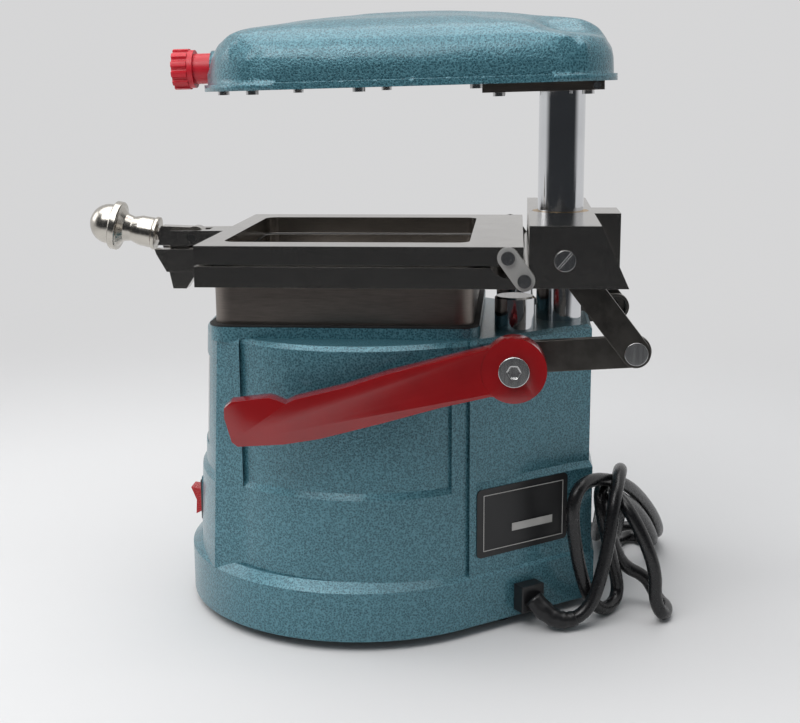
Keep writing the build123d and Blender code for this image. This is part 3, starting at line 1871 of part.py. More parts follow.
with BuildPart() as head_screws:
    bars(head_level(0), head_screw_places, -screw_head_height, screw_head_radius)
    bars(head_level(0), head_screw_places, head_floor + head_boss_height / 2 - seat_gap, shank_radius)
    bars(head_level(-bracket_below), bracket_screw_places, -screw_head_height, screw_head_radius)
    bars(
        head_level(-bracket_below),
        bracket_screw_places,
        bracket_below + head_floor + head_boss_height - seat_gap,
        shank_radius,
    )
keep("head_screws", head_screws)

with BuildPart() as head_knob:
    grip_y = head_front_y - head_knob_neck - head_knob_ring
    bars(head_front(head_front_y), head_axis, head_knob_neck, head_knob_neck_radius)
    bars(head_front(head_front_y - head_knob_neck), head_axis, head_knob_ring, head_knob_ring_radius)
    bars(head_front(grip_y), head_axis, head_knob_grip, head_knob_radius)
    with BuildSketch(head_front(grip_y)) as flutes:
        with Locations(*head_axis):
            with PolarLocations(head_knob_radius, head_knob_flutes):
                Circle(head_knob_flute_radius)
    extrude(flutes.sketch, amount=head_knob_grip, mode=Mode.SUBTRACT)
    bars(head_front(head_front_y), head_axis, -head_knob_stud, head_knob_stud_radius)
keep("head_knob", head_knob)

# ---------------------------------------------------------------- power cord

with BuildPart() as cord_gland:
    with BuildSketch(gland_plane):
        Rectangle(gland_size, gland_size)
    extrude(amount=gland_depth)
    with BuildSketch(gland_plane):
        Rectangle(gland_hole - seat_gap, gland_hole - seat_gap)
    extrude(amount=-base_wall)
keep("cord_gland", cord_gland)


def bend_radii(route):
    """Largest radii of the bends for which their arcs leave straight runs between them."""
    radii = []
    for before, corner, after in zip(route, route[1:], route[2:]):
        come = Vector(*corner) - Vector(*before)
        go = Vector(*after) - Vector(*corner)
        half_turn = math.radians(come.get_angle(go)) / 2
        radii.append(bend_share * min(come.length, go.length) / math.tan(half_turn))
    return radii


def cord_along(name, route):
    """A stretch of cord: straight runs joined by tangent arcs."""
    radii = bend_radii(route)
    with BuildPart() as tube:
        with BuildLine() as centre:
            FilletPolyline(*route, radius=radii)
        path = centre.wires()[0]
        with BuildSketch(Plane(origin=path @ 0, z_dir=path % 0)):
            Circle(cord_radius)
        sweep(path=path)
    keep(name, tube)
    bar_volume = math.pi * cord_radius**2 * path.length
    print(name, "bend radii", [round(radius, 1) for radius in radii])
    print(name, "volume over section times length", round(tube.part.volume / bar_volume, 4))


def at(point):
    """A place of the machine in the part's own coordinates."""
    return (column_x + point[0], column_y + point[1], point[2])


gland_face = gland_plane.origin + gland_plane.z_dir * gland_depth
cord_along("cord_lead", [tuple(gland_face), *[at(point) for point in lead_route]])


def hank_section(height, points):
    """Outline of the bundled cord at one height."""
    with BuildSketch(level(height)) as outline:
        with BuildLine():
            Polyline(*points, close=True)
        make_face()
    return outline.sketch


with BuildPart() as cord_hank:
    loft([hank_section(hank_foot_z, hank_foot), hank_section(hank_crown_z, hank_crown)], ruled=True)
keep("cord_hank", cord_hank)

plug_span = (plug_x - plug_half_width, plug_x + plug_half_width)
plug_body_y = plug_end_y - plug_relief_length
plug_centre_z = hank_foot_z + plug_height / 2
with BuildPart() as power_plug:
    block(
        plug_span,
        (plug_body_y - plug_length, plug_body_y),
        (hank_foot_z, hank_foot_z + plug_height),
        corner=plug_height / 4,
    )
    bars(facing_front(plug_end_y), [(plug_x, plug_centre_z)], plug_relief_length, plug_relief_radius)
    for pin_x in (plug_x - plug_pin_x, plug_x + plug_pin_x):
        block(
            (pin_x - plug_pin_width / 2, pin_x + plug_pin_width / 2),
            (plug_body_y - plug_length - plug_pin_length, plug_body_y - plug_length),
            (plug_centre_z - plug_pin_height / 2, plug_centre_z + plug_pin_height / 2),
        )
keep("power_plug", power_plug)
cord_along("cord_tail", [at((plug_x, plug_end_y, plug_centre_z)), *[at(point) for point in tail_route]])

# ---------------------------------------------------------------- export

os.makedirs("parts", exist_ok=True)
for name, shape in pieces.items():
    export_step(shape, f"parts/{name}.step")
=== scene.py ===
"""Looks of the dental vacuum former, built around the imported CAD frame."""

import json
import math

import bmesh
import bpy
from mathutils import Matrix, Vector

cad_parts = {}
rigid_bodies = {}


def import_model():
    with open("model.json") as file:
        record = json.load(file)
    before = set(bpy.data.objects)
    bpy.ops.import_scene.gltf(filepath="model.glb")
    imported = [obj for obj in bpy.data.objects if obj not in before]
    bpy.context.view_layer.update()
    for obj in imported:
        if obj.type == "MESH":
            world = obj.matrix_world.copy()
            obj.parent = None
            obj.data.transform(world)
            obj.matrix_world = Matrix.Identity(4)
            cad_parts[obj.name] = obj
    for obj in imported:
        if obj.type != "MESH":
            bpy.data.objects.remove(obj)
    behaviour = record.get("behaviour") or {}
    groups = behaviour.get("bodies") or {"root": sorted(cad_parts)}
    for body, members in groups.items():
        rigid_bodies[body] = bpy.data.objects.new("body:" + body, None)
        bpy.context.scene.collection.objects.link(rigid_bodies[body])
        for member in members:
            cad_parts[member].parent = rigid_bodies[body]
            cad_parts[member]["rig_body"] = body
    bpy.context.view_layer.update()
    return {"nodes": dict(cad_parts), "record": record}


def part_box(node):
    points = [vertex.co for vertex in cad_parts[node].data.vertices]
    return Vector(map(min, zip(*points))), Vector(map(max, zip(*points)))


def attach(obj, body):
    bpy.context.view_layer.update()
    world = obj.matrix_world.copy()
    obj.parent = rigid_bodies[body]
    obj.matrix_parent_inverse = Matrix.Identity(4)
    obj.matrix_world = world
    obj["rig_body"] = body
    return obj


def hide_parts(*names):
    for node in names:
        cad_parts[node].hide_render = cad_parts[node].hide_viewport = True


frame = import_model()

MM = 0.001
COLUMN = sum(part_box("column"), Vector()) / 2


def place(x, y, z):
    """A point given in millimetres from the column's axis and the floor, in the row frame."""
    return Vector((COLUMN.x + x * MM, COLUMN.y + y * MM, z * MM))


def add_object(name, data):
    """A new object in the scene."""
    made = bpy.data.objects.new(name, data)
    bpy.context.scene.collection.objects.link(made)
    return made


# ---------------------------------------------------------------- camera and lamps

# place in millimetres, angles in degrees, nearest distance in metres
CAMERA_PLACE = (639.8, -21.4, 253.5)
CAMERA_YAW = -5.09
CAMERA_PITCH = -11.98
CAMERA_ROLL = -0.39
CAMERA_NEAREST = 0.01
FOCAL_PIXELS = 1311.0
PHOTO_WIDTH = 800
SENSOR = 36.0

# name, place, point it faces, width and depth in metres, power in watts
LAMPS = (
    ("top_box", (0.05, -0.1, 1.15), (0, 0, 0.1), 1.3, 1.5, 12.5),
    ("front_box", (0.62, -0.3, 0.82), (0, -0.08, 0.24), 0.7, 0.4, 3.2),
    ("left_box", (-0.2, -1.5, 0.8), (0, 0, 0.15), 0.8, 0.8, 4.0),
)


def add_camera():
    """Camera of the photograph, from its fitted place and angles."""
    yaw, pitch, roll = (math.radians(a) for a in (CAMERA_YAW, CAMERA_PITCH, CAMERA_ROLL))
    forward = Vector(
        (-math.cos(pitch) * math.cos(yaw), math.cos(pitch) * math.sin(yaw), math.sin(pitch))
    )
    right = forward.cross(Vector((0, 0, 1))).normalized()
    up = right.cross(forward)
    right_rolled = right * math.cos(roll) + up * math.sin(roll)
    up_rolled = up * math.cos(roll) - right * math.sin(roll)
    turned = Matrix((right_rolled, up_rolled, -forward)).transposed().to_4x4()
    data = bpy.data.cameras.new("camera")
    data.sensor_width = SENSOR
    data.lens = FOCAL_PIXELS / PHOTO_WIDTH * SENSOR
    data.clip_start = CAMERA_NEAREST
    camera = add_object("camera", data)
    camera.matrix_world = Matrix.Translation(place(*CAMERA_PLACE)) @ turned
    bpy.context.scene.camera = camera


def add_lamp(name, at, towards, width, depth, power):
    """A soft box that faces a point."""
    data = bpy.data.lights.new(name, "AREA")
    data.shape = "RECTANGLE"
    data.size = width
    data.size_y = depth
    data.energy = power
    turned = (Vector(at) - Vector(towards)).to_track_quat("Z", "Y").to_matrix().to_4x4()
    lamp = add_object(name, data)
    lamp.matrix_world = Matrix.Translation(at) @ turned


# ---------------------------------------------------------------- shader nodes

# a noise mostly lies between these two, so a ramp between them spreads it from end to end
NOISE_LOW = 0.3
NOISE_HIGH = 0.7


def opaque(colour):
    """A colour, or a grey given as one number, with full alpha."""
    return (*colour, 1) if isinstance(colour, tuple) else (colour,) * 3 + (1,)


class Graph:
    """A node tree, with short calls that add nodes to it and give the output to use."""

    def __init__(self, tree):
        self.tree = tree

    def feed(self, socket, value):
        """Links an input to another node's output, or sets its value."""
        if isinstance(value, bpy.types.NodeSocket):
            self.tree.links.new(value, socket)
        else:
            socket.default_value = value

    def node(self, kind, inputs=None, **settings):
        """A node with these settings, and with its inputs fed."""
        made = self.tree.nodes.new(f"ShaderNode{kind}")
        for name, value in settings.items():
            setattr(made, name, value)
        for key, value in (inputs or {}).items():
            self.feed(made.inputs[key], value)
        return made

    def maths(self, operation, first, second):
        """One step of arithmetic on two values."""
        return self.node("Math", {0: first, 1: second}, operation=operation).outputs[0]

    def total(self, first, first_share, second, second_share):
        """Two values added up by their shares."""
        return self.maths(
            "ADD",
            self.maths("MULTIPLY", first, first_share),
            self.maths("MULTIPLY", second, second_share),
        )

    def eased(self, value, start, end):
        """A smooth rise from 0 to 1 while a value goes from start to end."""
        made = self.node(
            "MapRange",
            {"Value": value, "From Min": start, "From Max": end},
            interpolation_type="SMOOTHSTEP",
        )
        return made.outputs["Result"]

    def ramp(self, value, *stops):
        """Colours, or greys, that follow a value."""
        made = self.node("ValToRGB", {"Fac": value})
        elements = made.color_ramp.elements
        while len(elements) < len(stops):
            elements.new(1.0)
        for element, (position, colour) in zip(elements, stops):
            element.position = position
            element.color = opaque(colour)
        return made.outputs["Color"]

    def spread(self, noise, low, high):
        """A noise spread between two colours or greys."""
        return self.ramp(noise, (NOISE_LOW, low), (NOISE_HIGH, high))

    def mix(self, amount, first, second, blend="MIX"):
        """Two colours mixed by an amount."""
        inputs = {0: amount, 6: first, 7: second}
        return self.node("Mix", inputs, data_type="RGBA", blend_type=blend).outputs[2]

    def layered(self, share, below, above):
        """One shader laid over another by a share."""
        return self.node("MixShader", {0: share, 1: below, 2: above}).outputs[0]

    def glow(self, colour):
        """A shader that shows one colour, whatever the light."""
        return self.node("Emission", {"Color": opaque(colour)}).outputs[0]

    def ray(self, kind):
        """1 for rays of one kind."""
        return self.node("LightPath").outputs[f"Is {kind} Ray"]

    def seen_ray(self):
        """1 for rays that show the background: from the camera, in gloss and through glass."""
        direct = self.maths("MAXIMUM", self.ray("Camera"), self.ray("Glossy"))
        return self.maths("MAXIMUM", direct, self.ray("Transmission"))


class Shader(Graph):
    """A procedural material: a Principled shader and the nodes that feed it."""

    def __init__(self, name, **values):
        self.material = bpy.data.materials.new(name)
        self.material.use_nodes = True
        super().__init__(self.material.node_tree)
        self.principled = self.tree.nodes["Principled BSDF"]
        self.place = self.node("TexCoord").outputs["Object"]
        self.set(**values)

    def set(self, **values):
        """Feeds inputs of the Principled shader."""
        for key, value in values.items():
            self.feed(self.principled.inputs[key.replace("_", " ")], value)

    def noise(self, scale, detail, roughness=0.5, at=None):
        """Noise between 0 and 1 over the surface, or over a stretched place on it."""
        inputs = {
            "Vector": at or self.place,
            "Scale": scale,
            "Detail": detail,
            "Roughness": roughness,
        }
        return self.node("TexNoise", inputs).outputs["Fac"]

    def cells(self, scale, smoothness):
        """Distance to the nearest cell centre."""
        inputs = {"Vector": self.place, "Scale": scale, "Smoothness": smoothness}
        return self.node("TexVoronoi", inputs, feature="SMOOTH_F1").outputs["Distance"]

    def stretched(self, scale):
        """The place on the surface, stretched along its axes."""
        return self.node("Mapping", {"Vector": self.place, "Scale": scale}).outputs["Vector"]

    def tint(self, noise, colour, darkest):
        """Sets a base colour that falls to a share of itself where the noise is low."""
        shaded = tuple(channel * darkest for channel in colour)
        self.set(Base_Color=self.spread(noise, shaded, colour))

    def bumped(self, height, strength, distance):
        """The finished material, with bump of a real depth in metres."""
        inputs = {"Height": height, "Strength": strength, "Distance": distance}
        self.set(Normal=self.node("Bump", inputs).outputs["Normal"])
        return self.material


# ---------------------------------------------------------------- materials


def hammertone(name, dark, middle, light):
    """Hammertone paint: pale dimples with dark speckle between them."""
    paint = Shader(name, Metallic=0.35, Coat_Weight=0.5, Coat_Roughness=0.18)
    dimples = paint.cells(scale=1150.0, smoothness=0.4)
    grain = paint.noise(scale=1700.0, detail=3.0, roughness=0.65)
    broad = paint.noise(scale=14.0, detail=2.0)
    speckle = paint.total(dimples, 0.55, grain, 0.6)
    colour = paint.ramp(speckle, (0.36, dark), (0.52, middle), (0.72, light))
    paint.set(Base_Color=paint.mix(1.0, colour, paint.spread(broad, 0.86, 1.0), "MULTIPLY"))
    paint.set(Roughness=paint.spread(grain, 0.26, 0.46))
    return paint.bumped(speckle, strength=0.55, distance=0.0005)


def cast_metal(name, dark, light, roughness, grain_scale, bump):
    """Plated sand casting: mottled, with a fine grain."""
    metal = Shader(name, Metallic=1.0)
    grain = metal.noise(grain_scale, detail=4.0, roughness=0.7)
    blotches = metal.noise(scale=70.0, detail=3.0, roughness=0.6)
    tone = metal.total(grain, 0.7, blotches, 0.3)
    metal.set(Base_Color=metal.ramp(tone, (0.35, dark), (0.65, light)))
    metal.set(Roughness=metal.spread(grain, roughness - 0.03, roughness + 0.04))
    return metal.bumped(grain, bump, distance=0.00003)


def polished_metal(name, colour, roughness):
    """Polished bar or plating with faint scratches."""
    metal = Shader(name, Metallic=1.0)
    metal.tint(metal.noise(scale=40.0, detail=3.0), colour, darkest=0.9)
    scratches = metal.noise(scale=90.0, detail=4.0, roughness=0.6, at=metal.stretched((9, 9, 1)))
    metal.set(Roughness=metal.ramp(scratches, (0.35, roughness), (0.75, roughness + 0.07)))
    return metal.bumped(scratches, strength=0.05, distance=0.0001)


def brushed_metal(name, colour, roughness, stretch):
    """Satin sheet metal with grinding lines."""
    metal = Shader(name, Metallic=1.0, Anisotropic=0.4)
    lines = metal.noise(scale=120.0, detail=5.0, roughness=0.7, at=metal.stretched(stretch))
    metal.tint(lines, colour, darkest=0.75)
    metal.set(Roughness=metal.spread(lines, roughness - 0.06, roughness + 0.1))
    return metal.bumped(lines, strength=0.2, distance=0.0001)


def moulded_plastic(name, colour, roughness, grain=1500.0):
    """Moulded plastic or paint with a faint texture."""
    plastic = Shader(name)
    skin = plastic.noise(grain, detail=3.0)
    plastic.tint(plastic.noise(scale=60.0, detail=2.0), colour, darkest=0.8)
    plastic.set(Roughness=plastic.spread(skin, roughness, roughness + 0.1))
    return plastic.bumped(skin, strength=0.1, distance=0.0001)


def red_enamel(name, colour):
    """Thick glossy enamel with slight orange peel."""
    enamel = Shader(name, Roughness=0.24, Coat_Weight=0.55, Coat_Roughness=0.08)
    peel = enamel.noise(scale=260.0, detail=2.0)
    enamel.tint(enamel.noise(scale=35.0, detail=3.0), colour, darkest=0.75)
    return enamel.bumped(peel, strength=0.12, distance=0.0003)


# by slot: name, colour, roughness, and how brushed lines are stretched along x, y and z
MATERIALS = {
    "base_paint": hammertone(
        "hammertone_blue",
        dark=(0.016, 0.066, 0.088),
        middle=(0.048, 0.16, 0.205),
        light=(0.1, 0.26, 0.315),
    ),
    "nickel_casting": cast_metal(
        "nickel_casting",
        dark=(0.38, 0.36, 0.335),
        light=(0.54, 0.515, 0.48),
        roughness=0.2,
        grain_scale=1100.0,
        bump=0.3,
    ),
    "chrome_bar": polished_metal("chrome_bar", (0.75, 0.76, 0.78), 0.08),
    "chamber_alloy": brushed_metal("chamber_alloy", (0.3, 0.265, 0.24), 0.4, (1, 1, 14)),
    "steel_plate": brushed_metal("steel_plate", (0.14, 0.132, 0.122), 0.36, (10, 1, 1)),
    "steel_screws": polished_metal("steel_screws", (0.66, 0.66, 0.66), 0.2),
    "red_handle": red_enamel("red_enamel", (0.28, 0.004, 0.006)),
    "red_knob": moulded_plastic("red_knob", (0.62, 0.01, 0.025), 0.32),
    "polished_knob": polished_metal("polished_nickel", (0.56, 0.53, 0.48), 0.2),
    "panel_foil": brushed_metal("panel_foil", (0.6, 0.6, 0.6), 0.35, (1, 1, 12)),
    "black_plate": moulded_plastic("black_plate", (0.012, 0.012, 0.013), 0.35),
    "black_plastic": moulded_plastic("black_plastic", (0.012, 0.012, 0.013), 0.3),
    "rocker_red": moulded_plastic("rocker_red", (0.5, 0.012, 0.015), 0.22),
    "seal_rubber": moulded_plastic("seal_rubber", (0.015, 0.015, 0.015), 0.6, grain=800.0),
    "cord_rubber": moulded_plastic("cord_rubber", (0.009, 0.009, 0.01), 0.24, grain=700.0),
    "bronze": polished_metal("bronze", (0.6, 0.4, 0.18), 0.3),
    "ceramic": moulded_plastic("ceramic", (0.75, 0.72, 0.66), 0.5),
    "element_metal": cast_metal(
        "element_metal",
        dark=(0.12, 0.08, 0.06),
        light=(0.3, 0.22, 0.17),
        roughness=0.45,
        grain_scale=900.0,
        bump=0.2,
    ),
    "reflector_metal": brushed_metal("reflector_metal", (0.75, 0.75, 0.75), 0.25, (1, 12, 1)),
}
MATERIALS_OF_NODES = {
    "hinge_plates": moulded_plastic("satin_steel", (0.3, 0.295, 0.285), 0.34, grain=2600.0),
    "latch_pin": moulded_plastic("dark_pin", (0.01, 0.01, 0.01), 0.4),
}
SLOT_OF = {part["node"]: part["material_slot"] for part in frame["record"]["subparts"]}


def material_of(node):
    """The node's own material, or else the one of its slot."""
    return MATERIALS_OF_NODES.get(node) or MATERIALS[SLOT_OF[node]]


def dress_nodes():
    """Gives every CAD node its procedural material."""
    for name, node in frame["nodes"].items():
        node.data.materials.clear()
        node.data.materials.append(material_of(name))


# ---------------------------------------------------------------- pieces and their meshes

SAME_PLACE = 1e-6


def mesh_of(node):
    """A CAD node's mesh, with the doubled vertices of its faces merged."""
    mesh = bmesh.new()
    mesh.from_mesh(frame["nodes"][node].data)
    bmesh.ops.remove_doubles(mesh, verts=mesh.verts, dist=SAME_PLACE)
    return mesh


def join_rings(mesh, low, high):
    """Adds the faces between two rings of vertices."""
    for step in range(len(low)):
        after = (step + 1) % len(low)
        mesh.faces.new((low[step], low[after], high[after], high[step]))


def new_piece(name, mesh, smooth=True):
    """An object made from a mesh under construction."""
    data = bpy.data.meshes.new(name)
    mesh.to_mesh(data)
    mesh.free()
    for face in data.polygons:
        face.use_smooth = smooth
    return add_object(name, data)


def weight_normals(piece, weight):
    """Shades a piece after its larger faces, so that they look flat or evenly curved."""
    piece.modifiers.new("even", "WEIGHTED_NORMAL").weight = weight


def finish_piece(piece, nodes):
    """Puts a piece in place of its CAD nodes, with their material and on the same body."""
    first = nodes[0]
    piece.data.materials.append(material_of(first))
    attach(piece, frame["nodes"][first]["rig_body"])
    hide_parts(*nodes)


# ---------------------------------------------------------------- mains cord

# millimetres, except the lengths, which are in metres
CORD_DIAMETER = 6.4
CORD_STEPS = 14
CORD_ROUNDNESS = 7
CORD_EXIT = (53.4, -11.1, 14.8)
CORD_LEAD = (
    (57.5, -4.0, 7.0), (55.5, 7.1, 4.6), (52.5, 16.2, 11.4), (49.2, 21.2, 27.1),
    (46.2, 24.5, 44.5), (43.5, 26.2, 58.5), (36.4, 28.1, 66.8),
)
CORD_FIRST_TURN = (
    (23.0, 30.7, 70.0), (3.7, 31.6, 64.5), (-19.3, 30.7, 43.8), (-41.4, 30.1, 22.0),
    (-57.7, 31.1, 9.9), (-70.5, 33.6, 5.3), (-81.0, 35.5, 3.9), (-85.7, 44.2, 3.9),
    (-81.1, 54.5, 3.9), (-69.3, 59.1, 5.4), (-52.4, 58.1, 14.8), (-30.3, 51.9, 30.8),
    (-8.1, 42.7, 47.2), (11.9, 34.0, 59.3), (24.9, 25.1, 65.3), (38.0, 16.6, 69.4),
    (47.8, 9.5, 68.8), (51.0, 6.3, 59.2), (50.1, 7.4, 45.6), (48.0, 10.2, 29.4),
    (45.4, 14.7, 13.8), (39.6, 21.4, 4.0), (29.1, 28.7, 3.4), (23.5, 31.1, 10.3),
    (27.2, 27.2, 25.3), (32.7, 23.2, 42.7), (30.4, 20.0, 58.1),
)
CORD_SECOND_TURN = (
    (18.3, 22.5, 61.6), (2.0, 30.0, 53.8), (-15.4, 34.5, 38.3), (-33.3, 34.2, 21.7),
    (-47.6, 33.5, 8.6), (-58.7, 36.1, 3.9), (-68.2, 40.7, 3.9), (-70.3, 48.3, 3.9),
    (-61.7, 54.1, 3.9), (-45.0, 54.8, 10.4), (-23.9, 48.9, 26.6), (-2.1, 40.0, 43.1),
    (15.9, 31.7, 53.3), (29.5, 26.5, 60.5), (38.8, 32.2, 57.2), (43.0, 40.7, 42.6),
    (44.1, 46.7, 26.0), (44.4, 46.5, 12.0), (44.3, 50.6, 3.9), (33.1, 54.1, 3.9),
    (22.3, 50.3, 3.9), (18.9, 45.0, 14.1), (18.9, 33.5, 18.9), (22.7, 27.5, 33.0),
    (26.4, 23.3, 47.2), (20.3, 23.4, 54.7),
)
CORD_TAIL = (
    (2.5, 23.5, 48.5), (-20.3, 24.4, 33.7), (-41.7, 24.4, 16.7), (-59.1, 24.3, 6.3),
    (-74.0, 28.0, 5.0), (-84.0, 17.0, 5.0), (-86.0, 6.0, 6.4),
)
RELIEF_LENGTH = 0.024
RELIEF_SIDES = 28
RELIEF_RADII = (4.9, 4.6, 4.9, 4.3, 4.6, 4.0, 4.3, 3.7, 3.9, 3.45)


def spline_curve(name, points, radius):
    """A tube round one open NURBS spline whose control points are given in millimetres."""
    curve = bpy.data.curves.new(name, "CURVE")
    curve.dimensions = "3D"
    curve.bevel_depth = radius * MM
    curve.bevel_resolution = CORD_ROUNDNESS
    curve.resolution_u = CORD_STEPS
    curve.use_fill_caps = True
    spline = curve.splines.new("NURBS")
    spline.points.add(len(points) - 1)
    for control, point in zip(spline.points, points):
        control.co = (*place(*point), 1)
    spline.order_u = 3
    spline.use_endpoint_u = True
    return add_object(name, curve)


def centre_line(curve_object):
    """Points along a curve's own line, as Blender gives them for a curve with no bevel."""
    bare = curve_object.data.copy()
    bare.bevel_depth = 0
    holder = bpy.data.objects.new("line", bare)
    points = [vertex.co.copy() for vertex in bpy.data.meshes.new_from_object(holder).vertices]
    bpy.data.objects.remove(holder)
    return points


def start_of(line, length):
    """The points of a line that lie within a length of its start."""
    path = [line[0]]
    reach = 0.0
    for before, after in zip(line, line[1:]):
        reach += (after - before).length
        if reach > length:
            break
        path.append(after)
    return path


def ring_radius(share):
    """Radius of the strain relief at a share of its length, between its ribs and grooves."""
    last = len(RELIEF_RADII) - 1
    along = share * last
    ring = min(int(along), last - 1)
    before, after = RELIEF_RADII[ring : ring + 2]
    return MM * (before + (after - before) * (along - ring))


def tube(path, radii):
    """A mesh of rings of the given radii along a path, closed at both ends."""
    mesh = bmesh.new()
    rings = []
    side = Vector((0, 0, 1))
    turns = [math.tau * step / RELIEF_SIDES for step in range(RELIEF_SIDES)]
    for index, (point, radius) in enumerate(zip(path, radii)):
        ahead = path[min(index + 1, len(path) - 1)] - path[max(index - 1, 0)]
        ahead.normalize()
        side = (side - ahead * side.dot(ahead)).normalized()
        other = ahead.cross(side)
        around = [(side * math.cos(turn) + other * math.sin(turn)) * radius for turn in turns]
        rings.append([mesh.verts.new(point + offset) for offset in around])
    for low, high in zip(rings, rings[1:]):
        join_rings(mesh, low, high)
    mesh.faces.new(list(reversed(rings[0])))
    mesh.faces.new(rings[-1])
    bmesh.ops.recalc_face_normals(mesh, faces=mesh.faces)
    return mesh


def add_cord():
    """Mains cord, bundled in loose loops, with the strain relief at its gland."""
    points = (CORD_EXIT, *CORD_LEAD, *CORD_FIRST_TURN, *CORD_SECOND_TURN, *CORD_TAIL)
    cord = spline_curve("mains_cord", points, CORD_DIAMETER / 2)
    finish_piece(cord, ["cord_lead", "cord_hank", "cord_tail"])
    path = start_of(centre_line(cord), RELIEF_LENGTH)
    radii = [ring_radius(index / (len(path) - 1)) for index in range(len(path))]
    relief = new_piece("strain_relief", tube(path, radii))
    relief.data.materials.append(MATERIALS["black_plastic"])
    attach(relief, "base")


# ---------------------------------------------------------------- bare rating plate

PLATE_NORMAL = Vector((0.797, 0.604, 0.0)).normalized()
PLATE_ALONG = Vector((0.0, 0.0, 1.0)).cross(PLATE_NORMAL)
PLATE_INK = 0.12
# millimetres along and up from the plate's middle, then half the width and half the height
PLATE_BARS = (
    (5.0, -4.5, 12.0, 1.9),
    (0.0, 13.4, 23.2, 0.2),
    (0.0, -13.4, 23.2, 0.2),
    (-23.2, 0.0, 0.2, 13.6),
    (23.2, 0.0, 0.2, 13.6),
)
CORNERS = ((-1, -1), (1, -1), (1, 1), (-1, 1))


def plate_ring(mesh, centre, half_along, half_up, proud):
    """Four corners on the plate's face, or proud of it."""
    ring = []
    for side, rise in CORNERS:
        across = PLATE_ALONG * side * half_along * MM
        up = Vector((0, 0, rise * half_up * MM))
        ring.append(mesh.verts.new(centre + PLATE_NORMAL * proud * MM + across + up))
    return ring


def add_plate_bars():
    """A blank pale field and a thin frame on the rating plate, which carries no words."""
    vertices = [vertex.co for vertex in frame["nodes"]["rating_plate"].data.vertices]
    face = max(point.dot(PLATE_NORMAL) for point in vertices)
    middle = sum(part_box("rating_plate"), Vector()) / 2
    middle += PLATE_NORMAL * (face - middle.dot(PLATE_NORMAL))
    slope = PLATE_INK / 2
    mesh = bmesh.new()
    for along, up, half_along, half_up in PLATE_BARS:
        centre = middle + (PLATE_ALONG * along + Vector((0, 0, up))) * MM
        low = plate_ring(mesh, centre, half_along, half_up, 0.0)
        high = plate_ring(mesh, centre, half_along - slope, half_up - slope, PLATE_INK)
        mesh.faces.new(list(reversed(low)))
        mesh.faces.new(high)
        join_rings(mesh, low, high)
    bmesh.ops.recalc_face_normals(mesh, faces=mesh.faces)
    bars = new_piece("plate_bars", mesh, smooth=False)
    bars.data.materials.append(moulded_plastic("plate_ink", (0.5, 0.49, 0.47), 0.45))
    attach(bars, "base")


# ---------------------------------------------------------------- rounded edges

# width of the rounding in millimetres
ROUNDING = {
    "base_body": 1.2,
    "vacuum_chamber": 1.0,
    "chamber_gasket": 0.5,
    "upper_plate": 0.45,
    "lower_plate": 0.55,
    "carriage": 0.5,
    "latch_lever": 0.4,
    "hinge_plates": 0.25,
    "links": 0.35,
    "crank_arms": 0.35,
    "lever_handle": 2.6,
    "hub_screw": 0.4,
    "pivot_screws": 0.2,
    "link_pins": 0.25,
    "head_bracket": 0.8,
    "switch_bezels": 0.3,
    "rocker_heat": 0.35,
    "rocker_vacuum": 0.35,
    "cord_gland": 0.6,
    "latch_knob": 0.15,
    "head_knob": 0.3,
    "power_plug": 0.8,
}
SOFT_EDGED = ("lever_handle", "latch_knob")
# degrees: flatter edges than the first are taken away, and sharper ones than the second rounded
FLAT_ANGLE = 0.4
SHARP_ANGLE = 28.0
EDGE_SEGMENTS = 3
EDGE_WEIGHT = 100


def add_rounded(node, width):
    """A copy of a CAD node with its sharp edges rounded over, which then stands for it."""
    mesh = mesh_of(node)
    bmesh.ops.dissolve_limit(
        mesh, angle_limit=math.radians(FLAT_ANGLE), verts=mesh.verts, edges=mesh.edges
    )
    piece = new_piece(f"{node}_rounded", mesh)
    bevel = piece.modifiers.new("round", "BEVEL")
    bevel.width = width * MM
    bevel.segments = EDGE_SEGMENTS
    bevel.limit_method = "ANGLE"
    bevel.angle_limit = math.radians(SHARP_ANGLE)
    bevel.miter_outer = "MITER_ARC"
    if node in SOFT_EDGED:
        bevel.harden_normals = True
    else:
        weight_normals(piece, EDGE_WEIGHT)
    finish_piece(piece, [node])


# ---------------------------------------------------------------- hood of the head

# millimetres: longest edge left, height kept at the rim, fade above it, room round the knob
HOOD_EDGE = 3.2
HOOD_RIM = 8.0
HOOD_BLEND = 7.0
HOOD_KEPT = 9.0
HOOD_PASSES = 7
HOOD_SMOOTHING = 44
HOOD_FACTOR = 0.5
HOOD_WEIGHT = 60


def add_hood():
    """The head's hood with its creases drawn out into one soft dome above the rim."""
    mesh = mesh_of("head_shell")
    for _ in range(HOOD_PASSES):
        long_edges = [edge for edge in mesh.edges if edge.calc_length() > HOOD_EDGE * MM]
        bmesh.ops.subdivide_edges(mesh, edges=long_edges, cuts=1)
        bmesh.ops.triangulate(mesh, faces=mesh.faces)
    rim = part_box("head_shell")[0].z + HOOD_RIM * MM
    kept = Vector((1, 1, 1)) * HOOD_KEPT * MM
    near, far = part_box("head_knob")
    near, far = Vector(near) - kept, Vector(far) + kept
    for step in range(HOOD_SMOOTHING):
        # every other pass starts higher, so that the dome fades into the rim
        height = rim + HOOD_BLEND * MM * (step % 2)
        upper = [
            vertex
            for vertex in mesh.verts
            if vertex.co.z > height
            and not all(low < at < high for low, at, high in zip(near, vertex.co, far))
        ]
        bmesh.ops.smooth_vert(
            mesh,
            verts=upper,
            factor=HOOD_FACTOR,
            use_axis_x=True,
            use_axis_y=True,
            use_axis_z=True,
        )
    bmesh.ops.recalc_face_normals(mesh, faces=mesh.faces)
    hood = new_piece("hood", mesh)
    weight_normals(hood, HOOD_WEIGHT)
    finish_piece(hood, ["head_shell"])


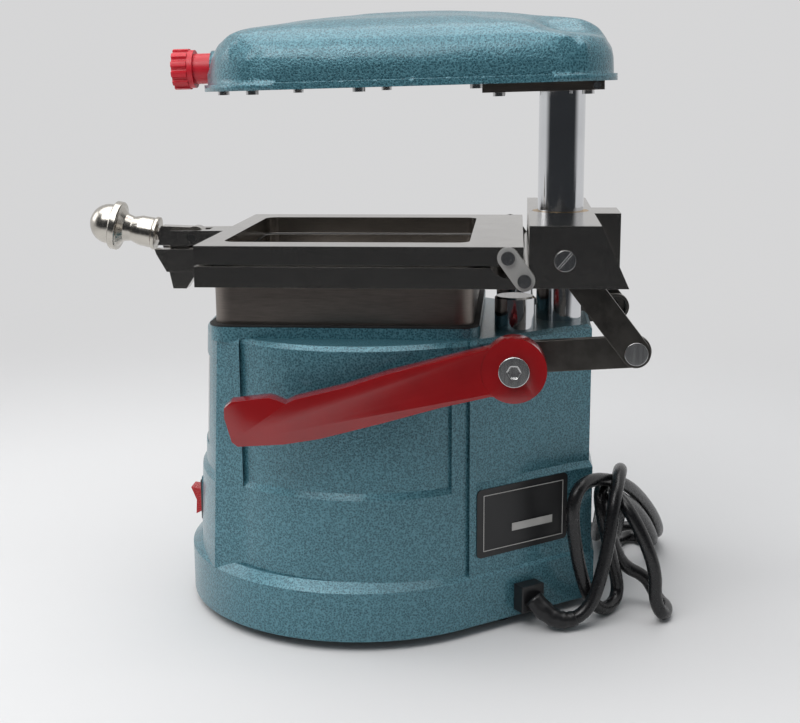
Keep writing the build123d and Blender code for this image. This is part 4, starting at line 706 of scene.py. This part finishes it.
# ---------------------------------------------------------------- studio

FLOOR_COLOUR = (0.74, 0.735, 0.735)
BACK_COLOUR = (0.67, 0.67, 0.675)
ROOM_COLOUR = (0.03, 0.032, 0.035)
SOFT_LIGHT = (0.9, 0.95, 1.0)
SOFT_STRENGTH = 0.3
# metres: the paper's size, and the distances over which it turns pale, and dark in gloss
FLOOR_FRONT = 1.6
FLOOR_HALF_WIDTH = 3.0
BACK_DISTANCE = 1.1
BACK_BEND = 0.5
BACK_TOP = 2.5
BACK_FADE = (0.3, 0.85)
ROOM_FADE = (0.28, 0.6)
BACK_BEND_STEPS = 12
# how far the reflected sky has to face the room to be all dark
ROOM_FACING = 0.45


def studio_paper():
    """Pale paper that fades into the background, and looks dark in gloss towards the room."""
    paper = Shader("studio_paper", Roughness=0.8)
    paper.tint(paper.noise(scale=3.0, detail=2.0), FLOOR_COLOUR, darkest=0.98)
    distance = paper.node("VectorMath", {0: paper.place}, operation="LENGTH").outputs["Value"]
    away = paper.node("SeparateXYZ", {"Vector": paper.place}).outputs["X"]
    faded = paper.maths("MULTIPLY", paper.eased(distance, *BACK_FADE), paper.seen_ray())
    dark = paper.maths("MULTIPLY", paper.eased(away, *ROOM_FADE), paper.ray("Glossy"))
    lit = paper.layered(faded, paper.principled.outputs[0], paper.glow(BACK_COLOUR))
    shown = paper.layered(dark, lit, paper.glow(ROOM_COLOUR))
    paper.feed(paper.tree.nodes["Material Output"].inputs["Surface"], shown)
    return paper.material


def add_studio():
    """Pale floor that curves up into a backdrop behind the machine."""
    bend_start = -BACK_DISTANCE + BACK_BEND
    profile = [(FLOOR_FRONT, 0.0), (bend_start, 0.0)]
    for step in range(1, BACK_BEND_STEPS + 1):
        turn = math.pi / 2 * step / BACK_BEND_STEPS
        profile.append(
            (bend_start - BACK_BEND * math.sin(turn), BACK_BEND - BACK_BEND * math.cos(turn))
        )
    profile.append((-BACK_DISTANCE, BACK_TOP))
    mesh = bmesh.new()
    left, right = (
        [mesh.verts.new((x, y, z)) for x, z in profile]
        for y in (-FLOOR_HALF_WIDTH, FLOOR_HALF_WIDTH)
    )
    for index in range(len(profile) - 1):
        mesh.faces.new((left[index], left[index + 1], right[index + 1], right[index]))
    studio = new_piece("studio", mesh)
    studio.data.materials.append(studio_paper())


def add_world():
    """Pale to the camera, dim in gloss towards the room in front, and soft as light."""
    world = bpy.data.worlds.new("world")
    world.use_nodes = True
    bpy.context.scene.world = world
    sky = Graph(world.node_tree)
    way = sky.node("TexCoord").outputs["Generated"]
    forward = sky.node("SeparateXYZ", {0: way}).outputs["X"]
    room = sky.ramp(forward, (0.0, BACK_COLOUR), (ROOM_FACING, ROOM_COLOUR))
    shown = sky.mix(sky.ray("Glossy"), opaque(BACK_COLOUR), room)
    plain = sky.node("Background", {"Color": shown}).outputs[0]
    light = sky.tree.nodes["Background"]
    sky.feed(light.inputs["Color"], opaque(SOFT_LIGHT))
    sky.feed(light.inputs["Strength"], SOFT_STRENGTH)
    mixed = sky.layered(sky.seen_ray(), light.outputs[0], plain)
    sky.feed(sky.tree.nodes["World Output"].inputs["Surface"], mixed)


add_camera()
add_cord()
dress_nodes()
add_plate_bars()
add_hood()
for node, width in ROUNDING.items():
    add_rounded(node, width)
add_studio()
add_world()
for lamp in LAMPS:
    add_lamp(*lamp)

bpy.context.scene.view_settings.view_transform = "Standard"
